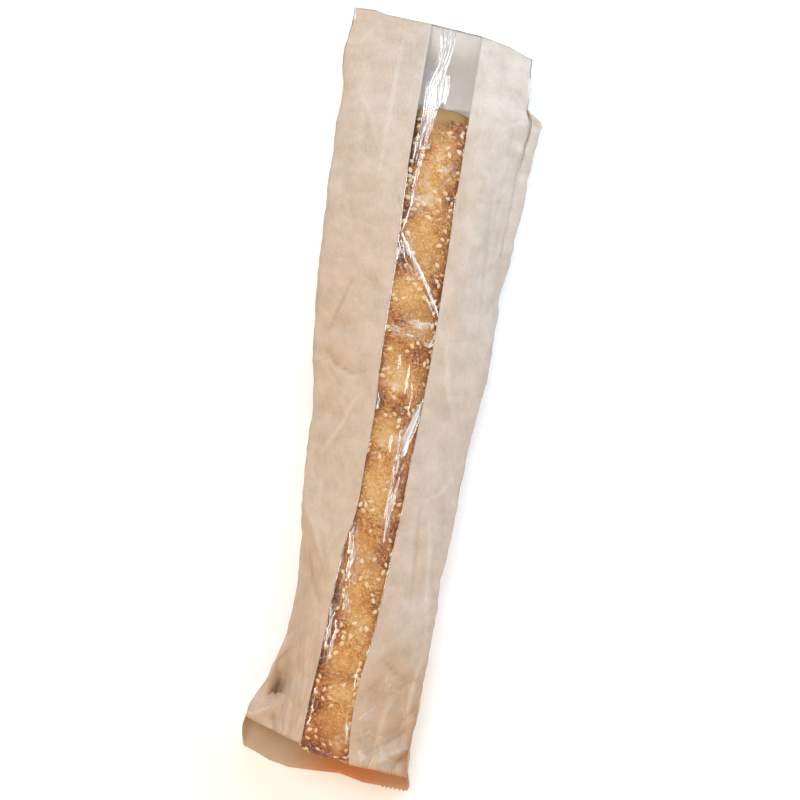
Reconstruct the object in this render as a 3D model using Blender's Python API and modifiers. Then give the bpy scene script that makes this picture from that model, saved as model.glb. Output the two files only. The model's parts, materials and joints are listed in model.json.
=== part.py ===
"""A short baguette in a kraft bakery bag with a clear window strip.

The bag lies on its back. +X runs across it, +Y runs along it to the sealed end, and +Z is up.
Lengths are in metres. Distances "along" the bag start at the sealed end and grow to the mouth.
"""
import math

import bmesh
import bpy
from mathutils import Vector

COLLECTION = "baguette_in_bag"

# The bag: one kraft sheet folded to a tube with a gusset in each side.
BODY_LENGTH = 0.466          # sealed end to the front layer's mouth edge
PAPER_THICKNESS = 0.0005     # thicker than real paper, so that it is a sound solid
FOLD_WIDTH = 0.0010          # flat made at each fold, between one panel and the next
SEAL_HEIGHT = 0.0030         # the stack of layers at the sealed end
SEAL_SLANT = 0.085           # how far the sealed edge runs out of square, per unit across
SEAL_SLANT_REACH = 0.056     # the slant dies out before the loaf
BACK_TOUCHDOWN = 0.052       # where the back panel comes down to the ground
MOUTH_REACH = 0.080          # the mouth's cut edge leaves its square line over this length
BULGE = {"left": 0.0045, "right": 0.0035}   # how far the front bows out beside the window

# The window: a clear film glued behind the two edges of the front panel.
FILM_THICKNESS = 0.0003
FILM_DROP = 0.0010           # from the middle of the paper down to the middle of the film
FILM_COLUMNS = 6             # facets across the clear part
FILM_END_GAP = 0.0020        # the film stops short of the end wall

# The loaf.
LOAF_START = 0.060           # far end of the loaf, along the bag
LOAF_END = 0.473             # end of the loaf at the mouth
LOAF_HALF_WIDTH = 0.0305
LOAF_HALF_HEIGHT = 0.0285
LOAF_MIDDLE = 0.0243         # height of its widest line
LOAF_BASE = 0.0008           # the baked base is flat, just above the back panel
LOAF_ENDS = (0.026, 0.023)   # length of the rounding at the far end and at the mouth
LOAF_END_POWER = 2.3
LOAF_CENTRE = (0.0055, 0.0020)      # sideways place at the far end and at the mouth
LOAF_WAVER = 0.018           # how much the width wavers along the loaf
LOAF_WAVE = 0.20             # length of one waver
LOAF_RINGS = 60
LOAF_SEGMENTS = 32
LOAF_CLEARANCE = 0.0009      # from the crust to the middle of the film

# The cuts in the crust, baked open.
SCORE_COUNT = 11
SCORE_DEPTH = 0.0016
SCORE_HALF_WIDTH = 0.0110
SCORE_HALF_LENGTH = 0.0210
SCORE_TURN = math.radians(32)

# The bag's folds as rails of (along, across, height), with a key where a fold changes course.
RAILS = {
    "front_left": [
        (0.000, -0.0615, 0.0215), (0.030, -0.0623, 0.0245), (0.060, -0.0595, 0.0270),
        (0.118, -0.0595, 0.0290), (0.245, -0.0495, 0.0290), (0.373, -0.0385, 0.0300),
        (0.441, -0.0380, 0.0320), (0.466, -0.0350, 0.0330)],
    "crease_left": [
        (0.000, -0.0420, 0.0200), (0.030, -0.0500, 0.0165), (0.060, -0.0575, 0.0155),
        (0.118, -0.0590, 0.0160), (0.245, -0.0490, 0.0160), (0.373, -0.0385, 0.0160),
        (0.410, -0.0430, 0.0160), (0.441, -0.0510, 0.0170), (0.466, -0.0575, 0.0170)],
    "back_left": [
        (0.000, -0.0615, 0.0195), (0.030, -0.0620, 0.0100), (0.060, -0.0590, 0.0040),
        (0.118, -0.0580, 0.0030), (0.245, -0.0480, 0.0030), (0.373, -0.0380, 0.0030),
        (0.410, -0.0400, 0.0030), (0.441, -0.0480, 0.0025), (0.466, -0.0570, 0.0018)],
    "front_right": [
        (0.000, 0.0570, 0.0095), (0.030, 0.0585, 0.0180), (0.060, 0.0615, 0.0250),
        (0.118, 0.0580, 0.0280), (0.245, 0.0565, 0.0280), (0.373, 0.0515, 0.0290),
        (0.441, 0.0490, 0.0300), (0.466, 0.0480, 0.0280)],
    "crease_right": [
        (0.000, 0.0375, 0.0125), (0.030, 0.0470, 0.0120), (0.049, 0.0610, 0.0140),
        (0.060, 0.0695, 0.0150), (0.118, 0.0665, 0.0170), (0.182, 0.0610, 0.0160),
        (0.245, 0.0570, 0.0160), (0.373, 0.0500, 0.0160), (0.410, 0.0525, 0.0160),
        (0.441, 0.0500, 0.0160), (0.466, 0.0495, 0.0140)],
    "back_right": [
        (0.000, 0.0570, 0.0075), (0.030, 0.0585, 0.0060), (0.060, 0.0600, 0.0040),
        (0.118, 0.0590, 0.0030), (0.245, 0.0545, 0.0030), (0.373, 0.0490, 0.0030),
        (0.441, 0.0490, 0.0025), (0.466, 0.0510, 0.0018)],
    "window_left": [
        (0.000, -0.0108, 0.0206), (0.030, -0.0108, 0.0340), (0.060, -0.0108, 0.0460),
        (0.075, -0.0108, 0.0510), (0.118, -0.0105, 0.0510), (0.245, -0.0064, 0.0510),
        (0.309, -0.0075, 0.0510), (0.348, -0.0115, 0.0505), (0.410, -0.0153, 0.0490),
        (0.441, -0.0172, 0.0480), (0.466, -0.0179, 0.0440)],
    "window_right": [
        (0.000, 0.0223, 0.0172), (0.030, 0.0223, 0.0320), (0.060, 0.0223, 0.0450),
        (0.075, 0.0223, 0.0500), (0.118, 0.0223, 0.0500), (0.245, 0.0223, 0.0500),
        (0.309, 0.0206, 0.0500), (0.348, 0.0185, 0.0505), (0.410, 0.0115, 0.0510),
        (0.441, 0.0108, 0.0510), (0.466, 0.0130, 0.0470)],
}
# Where each rail's cut edge ends at the mouth; the back panel reaches past the front.
MOUTH_EDGE = {
    "window_left": 0.4645, "front_left": 0.4615, "crease_left": 0.4560, "back_left": 0.4750,
    "back_right": 0.4875, "crease_right": 0.4830, "front_right": 0.4785, "window_right": 0.4725,
}

# Columns of the sheet, as shares of the way across a panel.
FRONT_SHARES = (0.0, 0.22, 0.46, 0.72, 1.0)
GUSSET_SHARES = (0.0, 0.5, 1.0)
WINDOW_SHARES = (1 / 3, 2 / 3)
STATIONS = (0.000, 0.008, 0.018, 0.030, 0.044, 0.060, 0.066, 0.072, 0.079, 0.088, 0.102, 0.120,
            0.145, 0.175, 0.205, 0.235, 0.265, 0.295, 0.325, 0.355, 0.380, 0.402, 0.422,
            0.438, 0.447, 0.453, 0.458, 0.462, 0.466)


def clear_scene():
    for item in list(bpy.data.objects):
        bpy.data.objects.remove(item)


def mix(first, second, share):
    return first + (second - first) * share


def smooth_step(low, high, value):
    """0 below low, 1 above high, and a soft ramp between."""
    share = min(max((value - low) / (high - low), 0.0), 1.0)
    return share * share * (3.0 - 2.0 * share)


def loaf_centre(along):
    return mix(*LOAF_CENTRE, (along - LOAF_START) / (LOAF_END - LOAF_START))


def loaf_girth(along):
    """1 along the body of the loaf, falling to 0 at its two rounded ends."""
    from_far_end = (along - LOAF_START) / LOAF_ENDS[0]
    from_mouth_end = (LOAF_END - along) / LOAF_ENDS[1]
    depth = min(max(min(from_far_end, from_mouth_end), 0.0), 1.0)
    return (1.0 - (1.0 - depth) ** LOAF_END_POWER) ** (1.0 / LOAF_END_POWER)


def loaf_half_width(along):
    waver = 1.0 + LOAF_WAVER * math.sin(math.tau * along / LOAF_WAVE)
    return LOAF_HALF_WIDTH * waver * loaf_girth(along)


def loaf_top(along, across):
    """Height of the smooth crust at a point seen from above, or 0 beside the loaf."""
    half_width = loaf_half_width(along)
    offset = abs(across - loaf_centre(along))
    if offset >= half_width:
        return 0.0
    rise = math.sqrt(1.0 - (offset / half_width) ** 2)
    return LOAF_MIDDLE + LOAF_HALF_HEIGHT * loaf_girth(along) * rise


def score_depth(along, across):
    """Depth of the baked cuts at a point seen from above."""
    spacing = (LOAF_END - LOAF_START) / SCORE_COUNT
    side = across - loaf_centre(along)
    deepest = 0.0
    for index in range(SCORE_COUNT):
        run = along - LOAF_START - spacing * (index + 0.5)
        lengthwise = run * math.cos(SCORE_TURN) + side * math.sin(SCORE_TURN)
        widthwise = side * math.cos(SCORE_TURN) - run * math.sin(SCORE_TURN)
        reach = math.hypot(lengthwise / SCORE_HALF_LENGTH, widthwise / SCORE_HALF_WIDTH)
        deepest = max(deepest, SCORE_DEPTH * (1.0 - reach * reach))
    return deepest


def rail_point(name, along):
    """Across and height of a rail, on a smooth curve through its keys."""
    keys = RAILS[name]
    along = min(max(along, keys[0][0]), keys[-1][0])
    index = max(i for i in range(len(keys) - 1) if keys[i][0] <= along)

    def slope(i):
        before = Vector(keys[max(i - 1, 0)])
        after = Vector(keys[min(i + 1, len(keys) - 1)])
        return (after - before) / (after.x - before.x)

    start = Vector(keys[index])
    stop = Vector(keys[index + 1])
    span = stop.x - start.x
    t = (along - start.x) / span
    point = (start * (2 * t**3 - 3 * t**2 + 1) + stop * (3 * t**2 - 2 * t**3)
             + slope(index) * span * (t**3 - 2 * t**2 + t)
             + slope(index + 1) * span * (t**3 - t**2))
    return Vector((point.y, point.z))


def at_mouth_edge(along, edge):
    """Stretch a station near the mouth, so that this column's cut edge ends at edge."""
    return along + (edge - BODY_LENGTH) * smooth_step(BODY_LENGTH - MOUTH_REACH, BODY_LENGTH, along)


def window_edge(side, along):
    """Section point of a window edge, kept clear above the loaf."""
    point = rail_point("window_" + side, along)
    stretched = at_mouth_edge(along, MOUTH_EDGE["window_" + side])
    point.y = max(point.y, loaf_top(stretched, point.x) + LOAF_CLEARANCE + FILM_DROP)
    return point


def front_point(side, along, share):
    """Section point of the front panel, share of the way from the window to the fold."""
    fold = rail_point("front_" + side, along) + Vector((0.0, FOLD_WIDTH / 2))
    point = window_edge(side, along).lerp(fold, share)
    bow = 4.0 * share * (1.0 - share) * smooth_step(0.0, LOAF_START, along)
    point.y += BULGE[side] * bow
    return point


def gusset_point(side, upper, lower, along, share):
    """Section point of half a gusset, from its upper fold to its lower one."""
    step = Vector((0.0, FOLD_WIDTH / 2))
    high = rail_point(upper + side, along) - step
    low = rail_point(lower + side, along) + step
    return high.lerp(low, share)


def back_point(side, along, share):
    """Section point of the back panel, flat on the ground away from the sealed end."""
    lift = 1.0 - smooth_step(0.0, BACK_TOUCHDOWN, along)
    seal_height = RAILS["window_" + side][0][2] - SEAL_HEIGHT
    inner = Vector((rail_point("window_" + side, along).x, seal_height * lift))
    edge = rail_point("back_" + side, along) - Vector((0.0, FOLD_WIDTH / 2))
    point = inner.lerp(edge, share)
    if share < 1.0:
        point.y = mix(inner.y, point.y, lift)
    return point


def world_point(point, along):
    """Place a section point; the sealed edge runs slightly out of square."""
    slant = SEAL_SLANT * (point.x - RAILS["front_left"][0][1])
    slant *= 1.0 - smooth_step(0.0, SEAL_SLANT_REACH, along)
    return Vector((point.x, BODY_LENGTH / 2 - along - slant, point.y))


def front_edge(side, share):
    return mix(MOUTH_EDGE["window_" + side], MOUTH_EDGE["front_" + side], share)


def back_edge(across):
    """The back panel's cut edge runs straight from its left corner to its right one."""
    left = RAILS["back_left"][-1][1]
    right = RAILS["back_right"][-1][1]
    share = (across - left) / (right - left)
    return mix(MOUTH_EDGE["back_left"], MOUTH_EDGE["back_right"], share)


def half_section(side, along):
    """Columns of one half of the sheet, from the window's edge round to the back's middle."""
    columns = []

    def place(point, edge):
        columns.append(world_point(point, at_mouth_edge(along, edge)))

    for share in FRONT_SHARES:
        place(front_point(side, along, share), front_edge(side, share))
    for upper, lower in (("front_", "crease_"), ("crease_", "back_")):
        for share in GUSSET_SHARES:
            edge = mix(MOUTH_EDGE[upper + side], MOUTH_EDGE[lower + side], share)
            place(gusset_point(side, upper, lower, along, share), edge)
    for share in reversed(FRONT_SHARES):
        point = back_point(side, along, share)
        place(point, back_edge(point.x))
    return columns


def bag_section(along):
    """The whole sheet's columns, from the window's left edge to its right edge."""
    left = half_section("left", along)
    right = half_section("right", along)
    middle = [left[-1].lerp(right[-1], share) for share in WINDOW_SHARES]
    return left + middle + right[::-1]


def film_section(along):
    """The film's columns, from under the left paper edge to under the right one."""
    def edge(side, share):
        point = front_point(side, along, share) - Vector((0.0, FILM_DROP))
        return point, at_mouth_edge(along, front_edge(side, share))

    left = edge("left", 0.0)
    right = edge("right", 0.0)
    columns = [edge("left", FRONT_SHARES[1]), left]
    for step in range(1, FILM_COLUMNS):
        share = step / FILM_COLUMNS
        point = left[0].lerp(right[0], share)
        stretched = mix(left[1], right[1], share)
        point.y = max(point.y, loaf_top(stretched, point.x) + LOAF_CLEARANCE)
        columns.append((point, stretched))
    columns += [right, edge("right", FRONT_SHARES[1])]
    return [world_point(point, stretched) for point, stretched in columns]


def sheet_mesh(name, rows, closed_start):
    """Skin rows of points; closed_start puts an end wall across the first row."""
    bm = bmesh.new()
    grid = [[bm.verts.new(point) for point in row] for row in rows]
    for near, far in zip(grid, grid[1:]):
        for i in range(len(near) - 1):
            bm.faces.new((near[i], near[i + 1], far[i + 1], far[i]))
    if closed_start:
        bm.faces.new(grid[0][::-1])
    bmesh.ops.recalc_face_normals(bm, faces=bm.faces)
    mesh = bpy.data.meshes.new(name)
    bm.to_mesh(mesh)
    bm.free()
    return mesh


def make_material(name, colour, roughness, alpha=1.0):
    material = bpy.data.materials.new(name)
    material.use_nodes = True
    shader = material.node_tree.nodes["Principled BSDF"]
    shader.inputs["Base Color"].default_value = (*colour, 1.0)
    shader.inputs["Roughness"].default_value = roughness
    shader.inputs["Metallic"].default_value = 0.0
    shader.inputs["Alpha"].default_value = alpha
    return material


def add_object(name, mesh, material, collection, parent):
    item = bpy.data.objects.new(name, mesh)
    mesh.materials.append(material)
    mesh.shade_smooth()
    collection.objects.link(item)
    item.parent = parent
    return item


def add_thickness(item, thickness):
    shell = item.modifiers.new("thickness", "SOLIDIFY")
    shell.thickness = thickness
    shell.offset = 0.0
    shell.use_even_offset = False


def ring_share(latitude):
    """Even rings along the body, closer together at the ends."""
    return mix(latitude, 0.5 - 0.5 * math.cos(math.pi * latitude), 0.5)


def loaf_mesh():
    """A ball drawn out to a loaf: flat base, blunt ends, shallow baked cuts on top."""
    bm = bmesh.new()
    bmesh.ops.create_uvsphere(bm, u_segments=LOAF_SEGMENTS, v_segments=LOAF_RINGS, radius=1.0)
    for vert in bm.verts:
        around = Vector((vert.co.x, vert.co.y))
        latitude = math.acos(max(min(vert.co.z, 1.0), -1.0)) / math.pi
        along = mix(LOAF_START, LOAF_END, ring_share(latitude))
        if around.length > 1e-6:
            around.normalize()
        across = loaf_centre(along) + loaf_half_width(along) * around.x
        height = LOAF_MIDDLE + LOAF_HALF_HEIGHT * loaf_girth(along) * around.y
        if around.y > 0.0:
            height -= score_depth(along, across)
        vert.co = Vector((across, BODY_LENGTH / 2 - along, max(height, LOAF_BASE)))
    bmesh.ops.recalc_face_normals(bm, faces=bm.faces)
    mesh = bpy.data.meshes.new("baguette")
    bm.to_mesh(mesh)
    bm.free()
    return mesh


def centring_offset(meshes):
    """Moves the whole part over its origin and stands the paper's underside on the ground."""
    across = [vert.co.x for mesh in meshes for vert in mesh.vertices]
    lengthwise = [vert.co.y for mesh in meshes for vert in mesh.vertices]
    middle_x = (min(across) + max(across)) / 2
    middle_y = (min(lengthwise) + max(lengthwise)) / 2
    return Vector((-middle_x, -middle_y, PAPER_THICKNESS / 2))


def main():
    clear_scene()
    collection = bpy.data.collections.new(COLLECTION)
    bpy.context.scene.collection.children.link(collection)
    stand = bpy.data.objects.new("stand", None)
    collection.objects.link(stand)

    crust = make_material("golden_crust", (0.56, 0.27, 0.08), 0.65)
    kraft = make_material("kraft_paper", (0.66, 0.50, 0.36), 0.80)
    clear = make_material("clear_film", (0.90, 0.90, 0.90), 0.12, alpha=0.25)

    bag = sheet_mesh("paper_bag", [bag_section(along) for along in STATIONS], True)
    film_stations = (FILM_END_GAP,) + STATIONS[1:]
    film = sheet_mesh("film_window", [film_section(along) for along in film_stations], False)

    add_object("baguette", loaf_mesh(), crust, collection, stand)
    add_thickness(add_object("paper_bag", bag, kraft, collection, stand), PAPER_THICKNESS)
    add_thickness(add_object("film_window", film, clear, collection, stand), FILM_THICKNESS)
    stand.location = centring_offset([bag])


main()
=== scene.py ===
# %% [markdown]
# # A sesame baguette in a window bag
# This lesson dresses a plain CAD model of a bakery bag until it looks real. The bag is one
# sheet of brown kraft paper folded into a tube, with a pleat (a gusset) in each side and a
# strip of clear film glued behind a slot in its front. A short baguette lies inside, and its
# crust shows through the film. Five pieces are made: the paper, the flap folded over its
# sealed end, the film, the loaf and its sesame seeds. Each is a mesh worked out point by point
# with numpy, because thin paper and film bend in crisp lines, and a grid of points puts each
# fold where it belongs.

# %% Load the fixed frame
import json
import math

import bpy
import numpy as np
from mathutils import Matrix, Vector

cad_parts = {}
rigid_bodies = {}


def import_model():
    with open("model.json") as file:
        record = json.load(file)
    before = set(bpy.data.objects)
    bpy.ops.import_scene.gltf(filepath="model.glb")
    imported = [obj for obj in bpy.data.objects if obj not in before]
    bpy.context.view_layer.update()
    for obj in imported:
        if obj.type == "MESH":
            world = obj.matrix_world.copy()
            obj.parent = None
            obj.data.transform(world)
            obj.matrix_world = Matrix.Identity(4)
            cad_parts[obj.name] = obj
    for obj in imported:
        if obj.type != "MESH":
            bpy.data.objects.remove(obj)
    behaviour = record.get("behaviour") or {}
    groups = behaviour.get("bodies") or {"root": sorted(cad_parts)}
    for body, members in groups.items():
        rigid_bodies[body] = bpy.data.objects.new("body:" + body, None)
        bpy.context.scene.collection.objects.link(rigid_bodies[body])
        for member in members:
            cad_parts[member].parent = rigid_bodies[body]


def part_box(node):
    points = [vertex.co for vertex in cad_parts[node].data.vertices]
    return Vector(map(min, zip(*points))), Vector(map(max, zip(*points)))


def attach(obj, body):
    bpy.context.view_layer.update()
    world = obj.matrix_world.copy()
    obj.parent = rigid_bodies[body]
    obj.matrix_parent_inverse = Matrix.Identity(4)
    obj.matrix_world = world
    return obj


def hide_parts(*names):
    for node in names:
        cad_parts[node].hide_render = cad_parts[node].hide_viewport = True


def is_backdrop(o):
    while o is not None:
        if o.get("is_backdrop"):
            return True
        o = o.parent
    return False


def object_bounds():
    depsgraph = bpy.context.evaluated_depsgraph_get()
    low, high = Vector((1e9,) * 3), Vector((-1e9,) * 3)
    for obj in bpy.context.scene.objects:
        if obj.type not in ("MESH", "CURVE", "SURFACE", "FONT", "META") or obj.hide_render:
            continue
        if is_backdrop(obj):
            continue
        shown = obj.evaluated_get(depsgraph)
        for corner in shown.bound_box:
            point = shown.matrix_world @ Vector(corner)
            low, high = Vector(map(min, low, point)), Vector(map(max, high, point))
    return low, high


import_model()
cad_low, cad_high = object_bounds()
print("CAD box in mm:", [round((b - a) * 1000, 1) for a, b in zip(cad_low, cad_high)])

# %% [markdown]
# ## Measures of the bag
# A bag maker measures *along* the bag from its sealed end and *across* it from the middle of
# the tube. Those measures, in millimetres, are easier to think in than X and Y, so one
# function turns them into the frame's metres. The CAD boxes say where the bag starts.

# %% From bag measures to the frame
MM = 0.001
bag_low, bag_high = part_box("paper_bag")
loaf_low, loaf_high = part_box("baguette")

FRONT_LENGTH = 466.0                 # sealed end to the front layer's mouth
ZERO_X = bag_low.x + 62.52 * MM      # the bag's measures start here across
ZERO_Y = bag_high.y - 0.17 * MM      # and here along
LAYER_UP = 0.10                      # height of the lowest sheet's middle above the table
SEAL_LINE = [(-61.5, 0.0), (-48.0, -0.6), (-41.0, 1.2), (-11.0, 2.5), (22.0, 5.1),
             (41.0, 7.7), (57.0, 12.5)]      # the sealed edge wanders: (across, along)
SEAL_LINE_REACH = 62.0               # from here on the bag runs straight again


def smooth(low, high, value):
    """0 below low, 1 above high, and a soft ramp between."""
    share = np.clip((value - low) / (high - low), 0.0, 1.0)
    return share * share * (3.0 - 2.0 * share)


def mix(first, second, share):
    """From first to second as share goes from 0 to 1."""
    return first + (second - first) * share


def in_frame(across, along, height):
    """Bag measures in millimetres to points in metres."""
    wander = np.interp(across, *np.transpose(SEAL_LINE))
    wander = wander * np.clip(1.0 - along / SEAL_LINE_REACH, 0.0, 1.0)
    return np.stack([ZERO_X + across * MM,
                     ZERO_Y - (along + wander) * MM,
                     (height + LAYER_UP) * MM], axis=-1)


for name, low, high in (("bag", bag_low, bag_high), ("loaf", loaf_low, loaf_high)):
    print(name, "length in mm:", round((high.y - low.y) / MM, 1))

# %% [markdown]
# ## The folds as rails
# Each fold of the bag is a rail: a smooth curve through keys of (along, across, height). The
# front folds wander where the paper was handled, the right gusset pops out near the sealed
# end, and the left one opens wide at the mouth. A lofted sheet between rails keeps crisp folds,
# which a cloth simulation tends to round off, so the rails are listed one by one.

# %% Rail keys
RAILS = {
    "front_left": [
        (0, -61.3, 20.9), (14, -61.9, 22.6), (23, -62.4, 23.6), (42, -62.3, 25.6),
        (52, -60.0, 26.4), (61, -59.4, 27.0), (71, -60.5, 27.6), (90, -60.0, 28.4),
        (109, -59.3, 28.9), (128, -57.5, 29.0), (148, -56.6, 29.0), (167, -56.0, 29.0),
        (186, -54.2, 29.0), (205, -53.0, 29.0), (224, -50.2, 29.0), (243, -47.0, 29.0),
        (262, -44.2, 29.0), (281, -44.2, 29.2), (301, -43.2, 29.5), (320, -41.2, 30.0),
        (330, -40.6, 30.5), (343, -36.5, 31.5), (360, -33.4, 32.5), (385, -32.4, 33.0),
        (403, -32.2, 33.2), (418, -30.6, 33.5), (430, -28.9, 33.8), (440, -30.4, 33.6),
        (450, -32.2, 33.2), (466, -34.0, 32.5)],
    "crease_left": [
        (0, -42.0, 20.6), (14, -46.0, 19.0), (30, -50.0, 16.8), (45, -54.5, 15.8),
        (60, -57.6, 15.5), (90, -58.9, 15.8), (118, -58.2, 16.0), (148, -55.8, 16.0),
        (186, -53.4, 16.0), (224, -49.8, 16.0), (262, -43.9, 16.0), (301, -42.4, 16.0),
        (330, -38.8, 16.2), (348, -38.0, 16.5), (368, -36.4, 17.0), (387, -36.8, 17.0),
        (406, -39.2, 16.5), (416, -40.6, 16.3), (425, -42.6, 16.5), (435, -44.6, 17.0),
        (444, -47.8, 17.4), (454, -52.6, 17.6), (466, -55.2, 17.4)],
    "back_left": [
        (0, -61.4, 20.2), (14, -61.8, 16.0), (30, -61.8, 10.0), (45, -60.0, 6.0),
        (60, -59.0, 4.0), (118, -58.0, 3.0), (245, -46.4, 3.0), (320, -40.2, 3.0),
        (373, -36.6, 3.0), (410, -39.2, 3.0), (441, -47.0, 2.5), (466, -54.6, 1.6)],
    "under_left": [(0, -10.8, 19.7), (14, -10.8, 15.2), (30, -10.8, 5.6), (52, -10.8, 0.0),
                   (466, -12.0, 0.0)],
    "under_right": [(0, 22.3, 19.6), (14, 22.3, 14.4), (30, 22.3, 5.4), (52, 22.3, 0.0),
                    (466, 14.0, 0.0)],
    "back_right": [
        (0, 57.0, 9.1), (14, 57.5, 7.6), (30, 58.5, 6.0), (60, 60.0, 4.0), (118, 59.0, 3.0),
        (245, 54.5, 3.0), (373, 49.0, 3.0), (441, 49.0, 2.5), (466, 51.5, 1.6)],
    "crease_right": [
        (0, 37.5, 15.0), (26, 46.0, 12.6), (38, 53.0, 13.2), (44, 61.0, 14.2),
        (49, 68.4, 15.0), (56, 70.2, 15.4), (70, 68.4, 15.8), (90, 67.5, 16.3),
        (109, 66.8, 16.8), (128, 64.6, 17.0), (148, 63.6, 17.0), (158, 61.8, 16.6),
        (167, 60.5, 16.4), (178, 61.5, 16.4), (195, 61.2, 16.2), (215, 60.5, 16.0),
        (224, 59.8, 16.0), (234, 57.6, 16.0), (246, 56.0, 16.0), (262, 55.0, 16.0),
        (320, 53.6, 16.0), (368, 50.2, 16.0), (395, 49.6, 16.0), (416, 50.4, 16.0),
        (430, 50.2, 16.0), (441, 48.8, 15.5), (452, 49.2, 15.0), (466, 53.2, 12.0)],
    "front_right": [
        (0, 57.0, 9.8), (14, 57.0, 13.5), (23, 59.0, 16.5), (34, 58.4, 19.5),
        (45, 58.6, 22.5), (52, 60.8, 24.2), (66, 60.0, 25.8), (82, 58.7, 27.0),
        (100, 57.6, 27.6), (119, 56.8, 28.0), (140, 55.6, 28.0), (170, 56.2, 28.0),
        (195, 56.9, 28.0), (215, 57.8, 28.0), (234, 57.2, 28.0), (246, 55.8, 28.2),
        (262, 55.0, 28.3), (281, 54.8, 28.5), (320, 54.4, 28.8), (348, 52.5, 29.0),
        (368, 51.2, 29.3), (395, 50.4, 29.5), (416, 50.8, 29.5), (430, 50.4, 29.0),
        (441, 49.4, 28.0), (452, 49.0, 27.0), (466, 50.6, 25.0)],
    "window_left": [
        (0, -10.8, 20.6), (30, -10.8, 35.6), (52, -10.8, 45.3), (66, -10.8, 50.6),
        (72, -10.8, 51.2), (118, -10.5, 51.0), (168, -8.6, 51.0), (226, -8.0, 51.0),
        (248, -6.4, 51.0), (286, -7.0, 51.0), (321, -7.9, 50.9), (337, -10.9, 50.6),
        (366, -13.2, 50.0), (395, -14.3, 49.4), (417, -15.5, 48.8), (433, -16.7, 48.2),
        (446, -17.3, 47.8), (466, -17.9, 46.2)],
    "window_right": [
        (0, 22.3, 20.5), (30, 22.3, 34.3), (52, 22.3, 43.2), (66, 22.3, 48.1),
        (72, 22.3, 49.4), (90, 22.3, 50.0), (118, 22.3, 50.0), (168, 22.9, 50.0),
        (226, 22.9, 50.0), (248, 22.3, 50.0), (286, 21.1, 50.1), (321, 20.3, 50.2),
        (337, 19.1, 50.4), (366, 17.2, 50.6), (395, 14.9, 50.8), (417, 11.7, 51.0),
        (433, 10.6, 51.0), (446, 10.8, 50.8), (466, 13.0, 49.0)],
}


def rail(name, along):
    """Across and height of a rail at many places along the bag."""
    keys = np.array(RAILS[name], float)
    at = keys[:, 0]
    slope = np.gradient(keys[:, 1:], at, axis=0)
    index = np.clip(np.searchsorted(at, along, side="right") - 1, 0, len(at) - 2)
    span = at[index + 1] - at[index]
    t = np.clip((along - at[index]) / span, 0.0, 1.0)[..., None]
    span = span[..., None]
    start, stop = keys[index, 1:], keys[index + 1, 1:]
    point = (start * (2 * t**3 - 3 * t**2 + 1) + stop * (3 * t**2 - 2 * t**3)
             + slope[index] * span * (t**3 - 2 * t**2 + t)
             + slope[index + 1] * span * (t**3 - t**2))
    return point[..., 0], point[..., 1]


print("rails:", len(RAILS), "with", sum(len(keys) for keys in RAILS.values()), "keys")

# %% [markdown]
# ## The loaf's outline
# The bag hangs on the loaf, so the loaf's smooth outline comes first: a flat-based oval bar
# with blunt ends, wavering slightly in width as a hand-rolled loaf does. The paper and film
# read its top height to stay clear of it.

# %% The loaf's smooth outline
LOAF_START, LOAF_END = 57.0, 473.0   # along the bag
LOAF_HALF_WIDTH = 30.5
LOAF_HALF_HEIGHT = 28.0
LOAF_MIDDLE = 24.3                   # height of its widest line above the table
LOAF_BASE = 0.8                      # height of its flat underside above the table
LOAF_ROUNDING = (26.0, 23.0)         # length of its two rounded ends
LOAF_SQUARENESS = 2.3                # 2 makes round ends, more makes blunt ones
LOAF_CENTRE = (5.5, 2.0)             # it lies slightly askew: across, at its two ends
LOAF_WAVER, LOAF_WAVE = 0.018, 200.0


def loaf_centre(along):
    """Where the middle of the loaf is, across the bag."""
    return mix(*LOAF_CENTRE, (along - LOAF_START) / (LOAF_END - LOAF_START))


def loaf_girth(along):
    """1 along the loaf's body, falling to 0 at its two rounded ends."""
    depth = np.minimum((along - LOAF_START) / LOAF_ROUNDING[0],
                       (LOAF_END - along) / LOAF_ROUNDING[1])
    depth = np.clip(depth, 0.0, 1.0)
    return (1.0 - (1.0 - depth) ** LOAF_SQUARENESS) ** (1.0 / LOAF_SQUARENESS)


def body_half_width(along):
    """Half the width of the loaf's body, before its ends are rounded."""
    return LOAF_HALF_WIDTH * (1.0 + LOAF_WAVER * np.sin(math.tau * along / LOAF_WAVE))


def loaf_top(along, across):
    """Height of the smooth crust under a point, or 0 beside the loaf."""
    girth = loaf_girth(along)
    half_width = np.maximum(body_half_width(along) * girth, 1e-6)
    offset = np.clip(np.abs(across - loaf_centre(along)) / half_width, 0.0, 1.0)
    top = LOAF_MIDDLE + LOAF_HALF_HEIGHT * girth * np.sqrt(1.0 - offset**2)
    return np.where(offset < 1.0, top, 0.0)


print("smooth loaf length in mm:", LOAF_END - LOAF_START)

# %% [markdown]
# ## Random hills
# Crumpled paper, baked crust and loose film all need gentle randomness that is the same on
# each run. A grid of seeded random heights, joined smoothly, gives hills of a chosen size.
# Folding the hills at zero turns them into creases.

# %% Seeded hills and creases
HILL_TABLE = 64                      # hills along each side of the table, which then repeats
TABLE_START = (7.3, 3.1)             # where the bag's middle falls on that table


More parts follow.
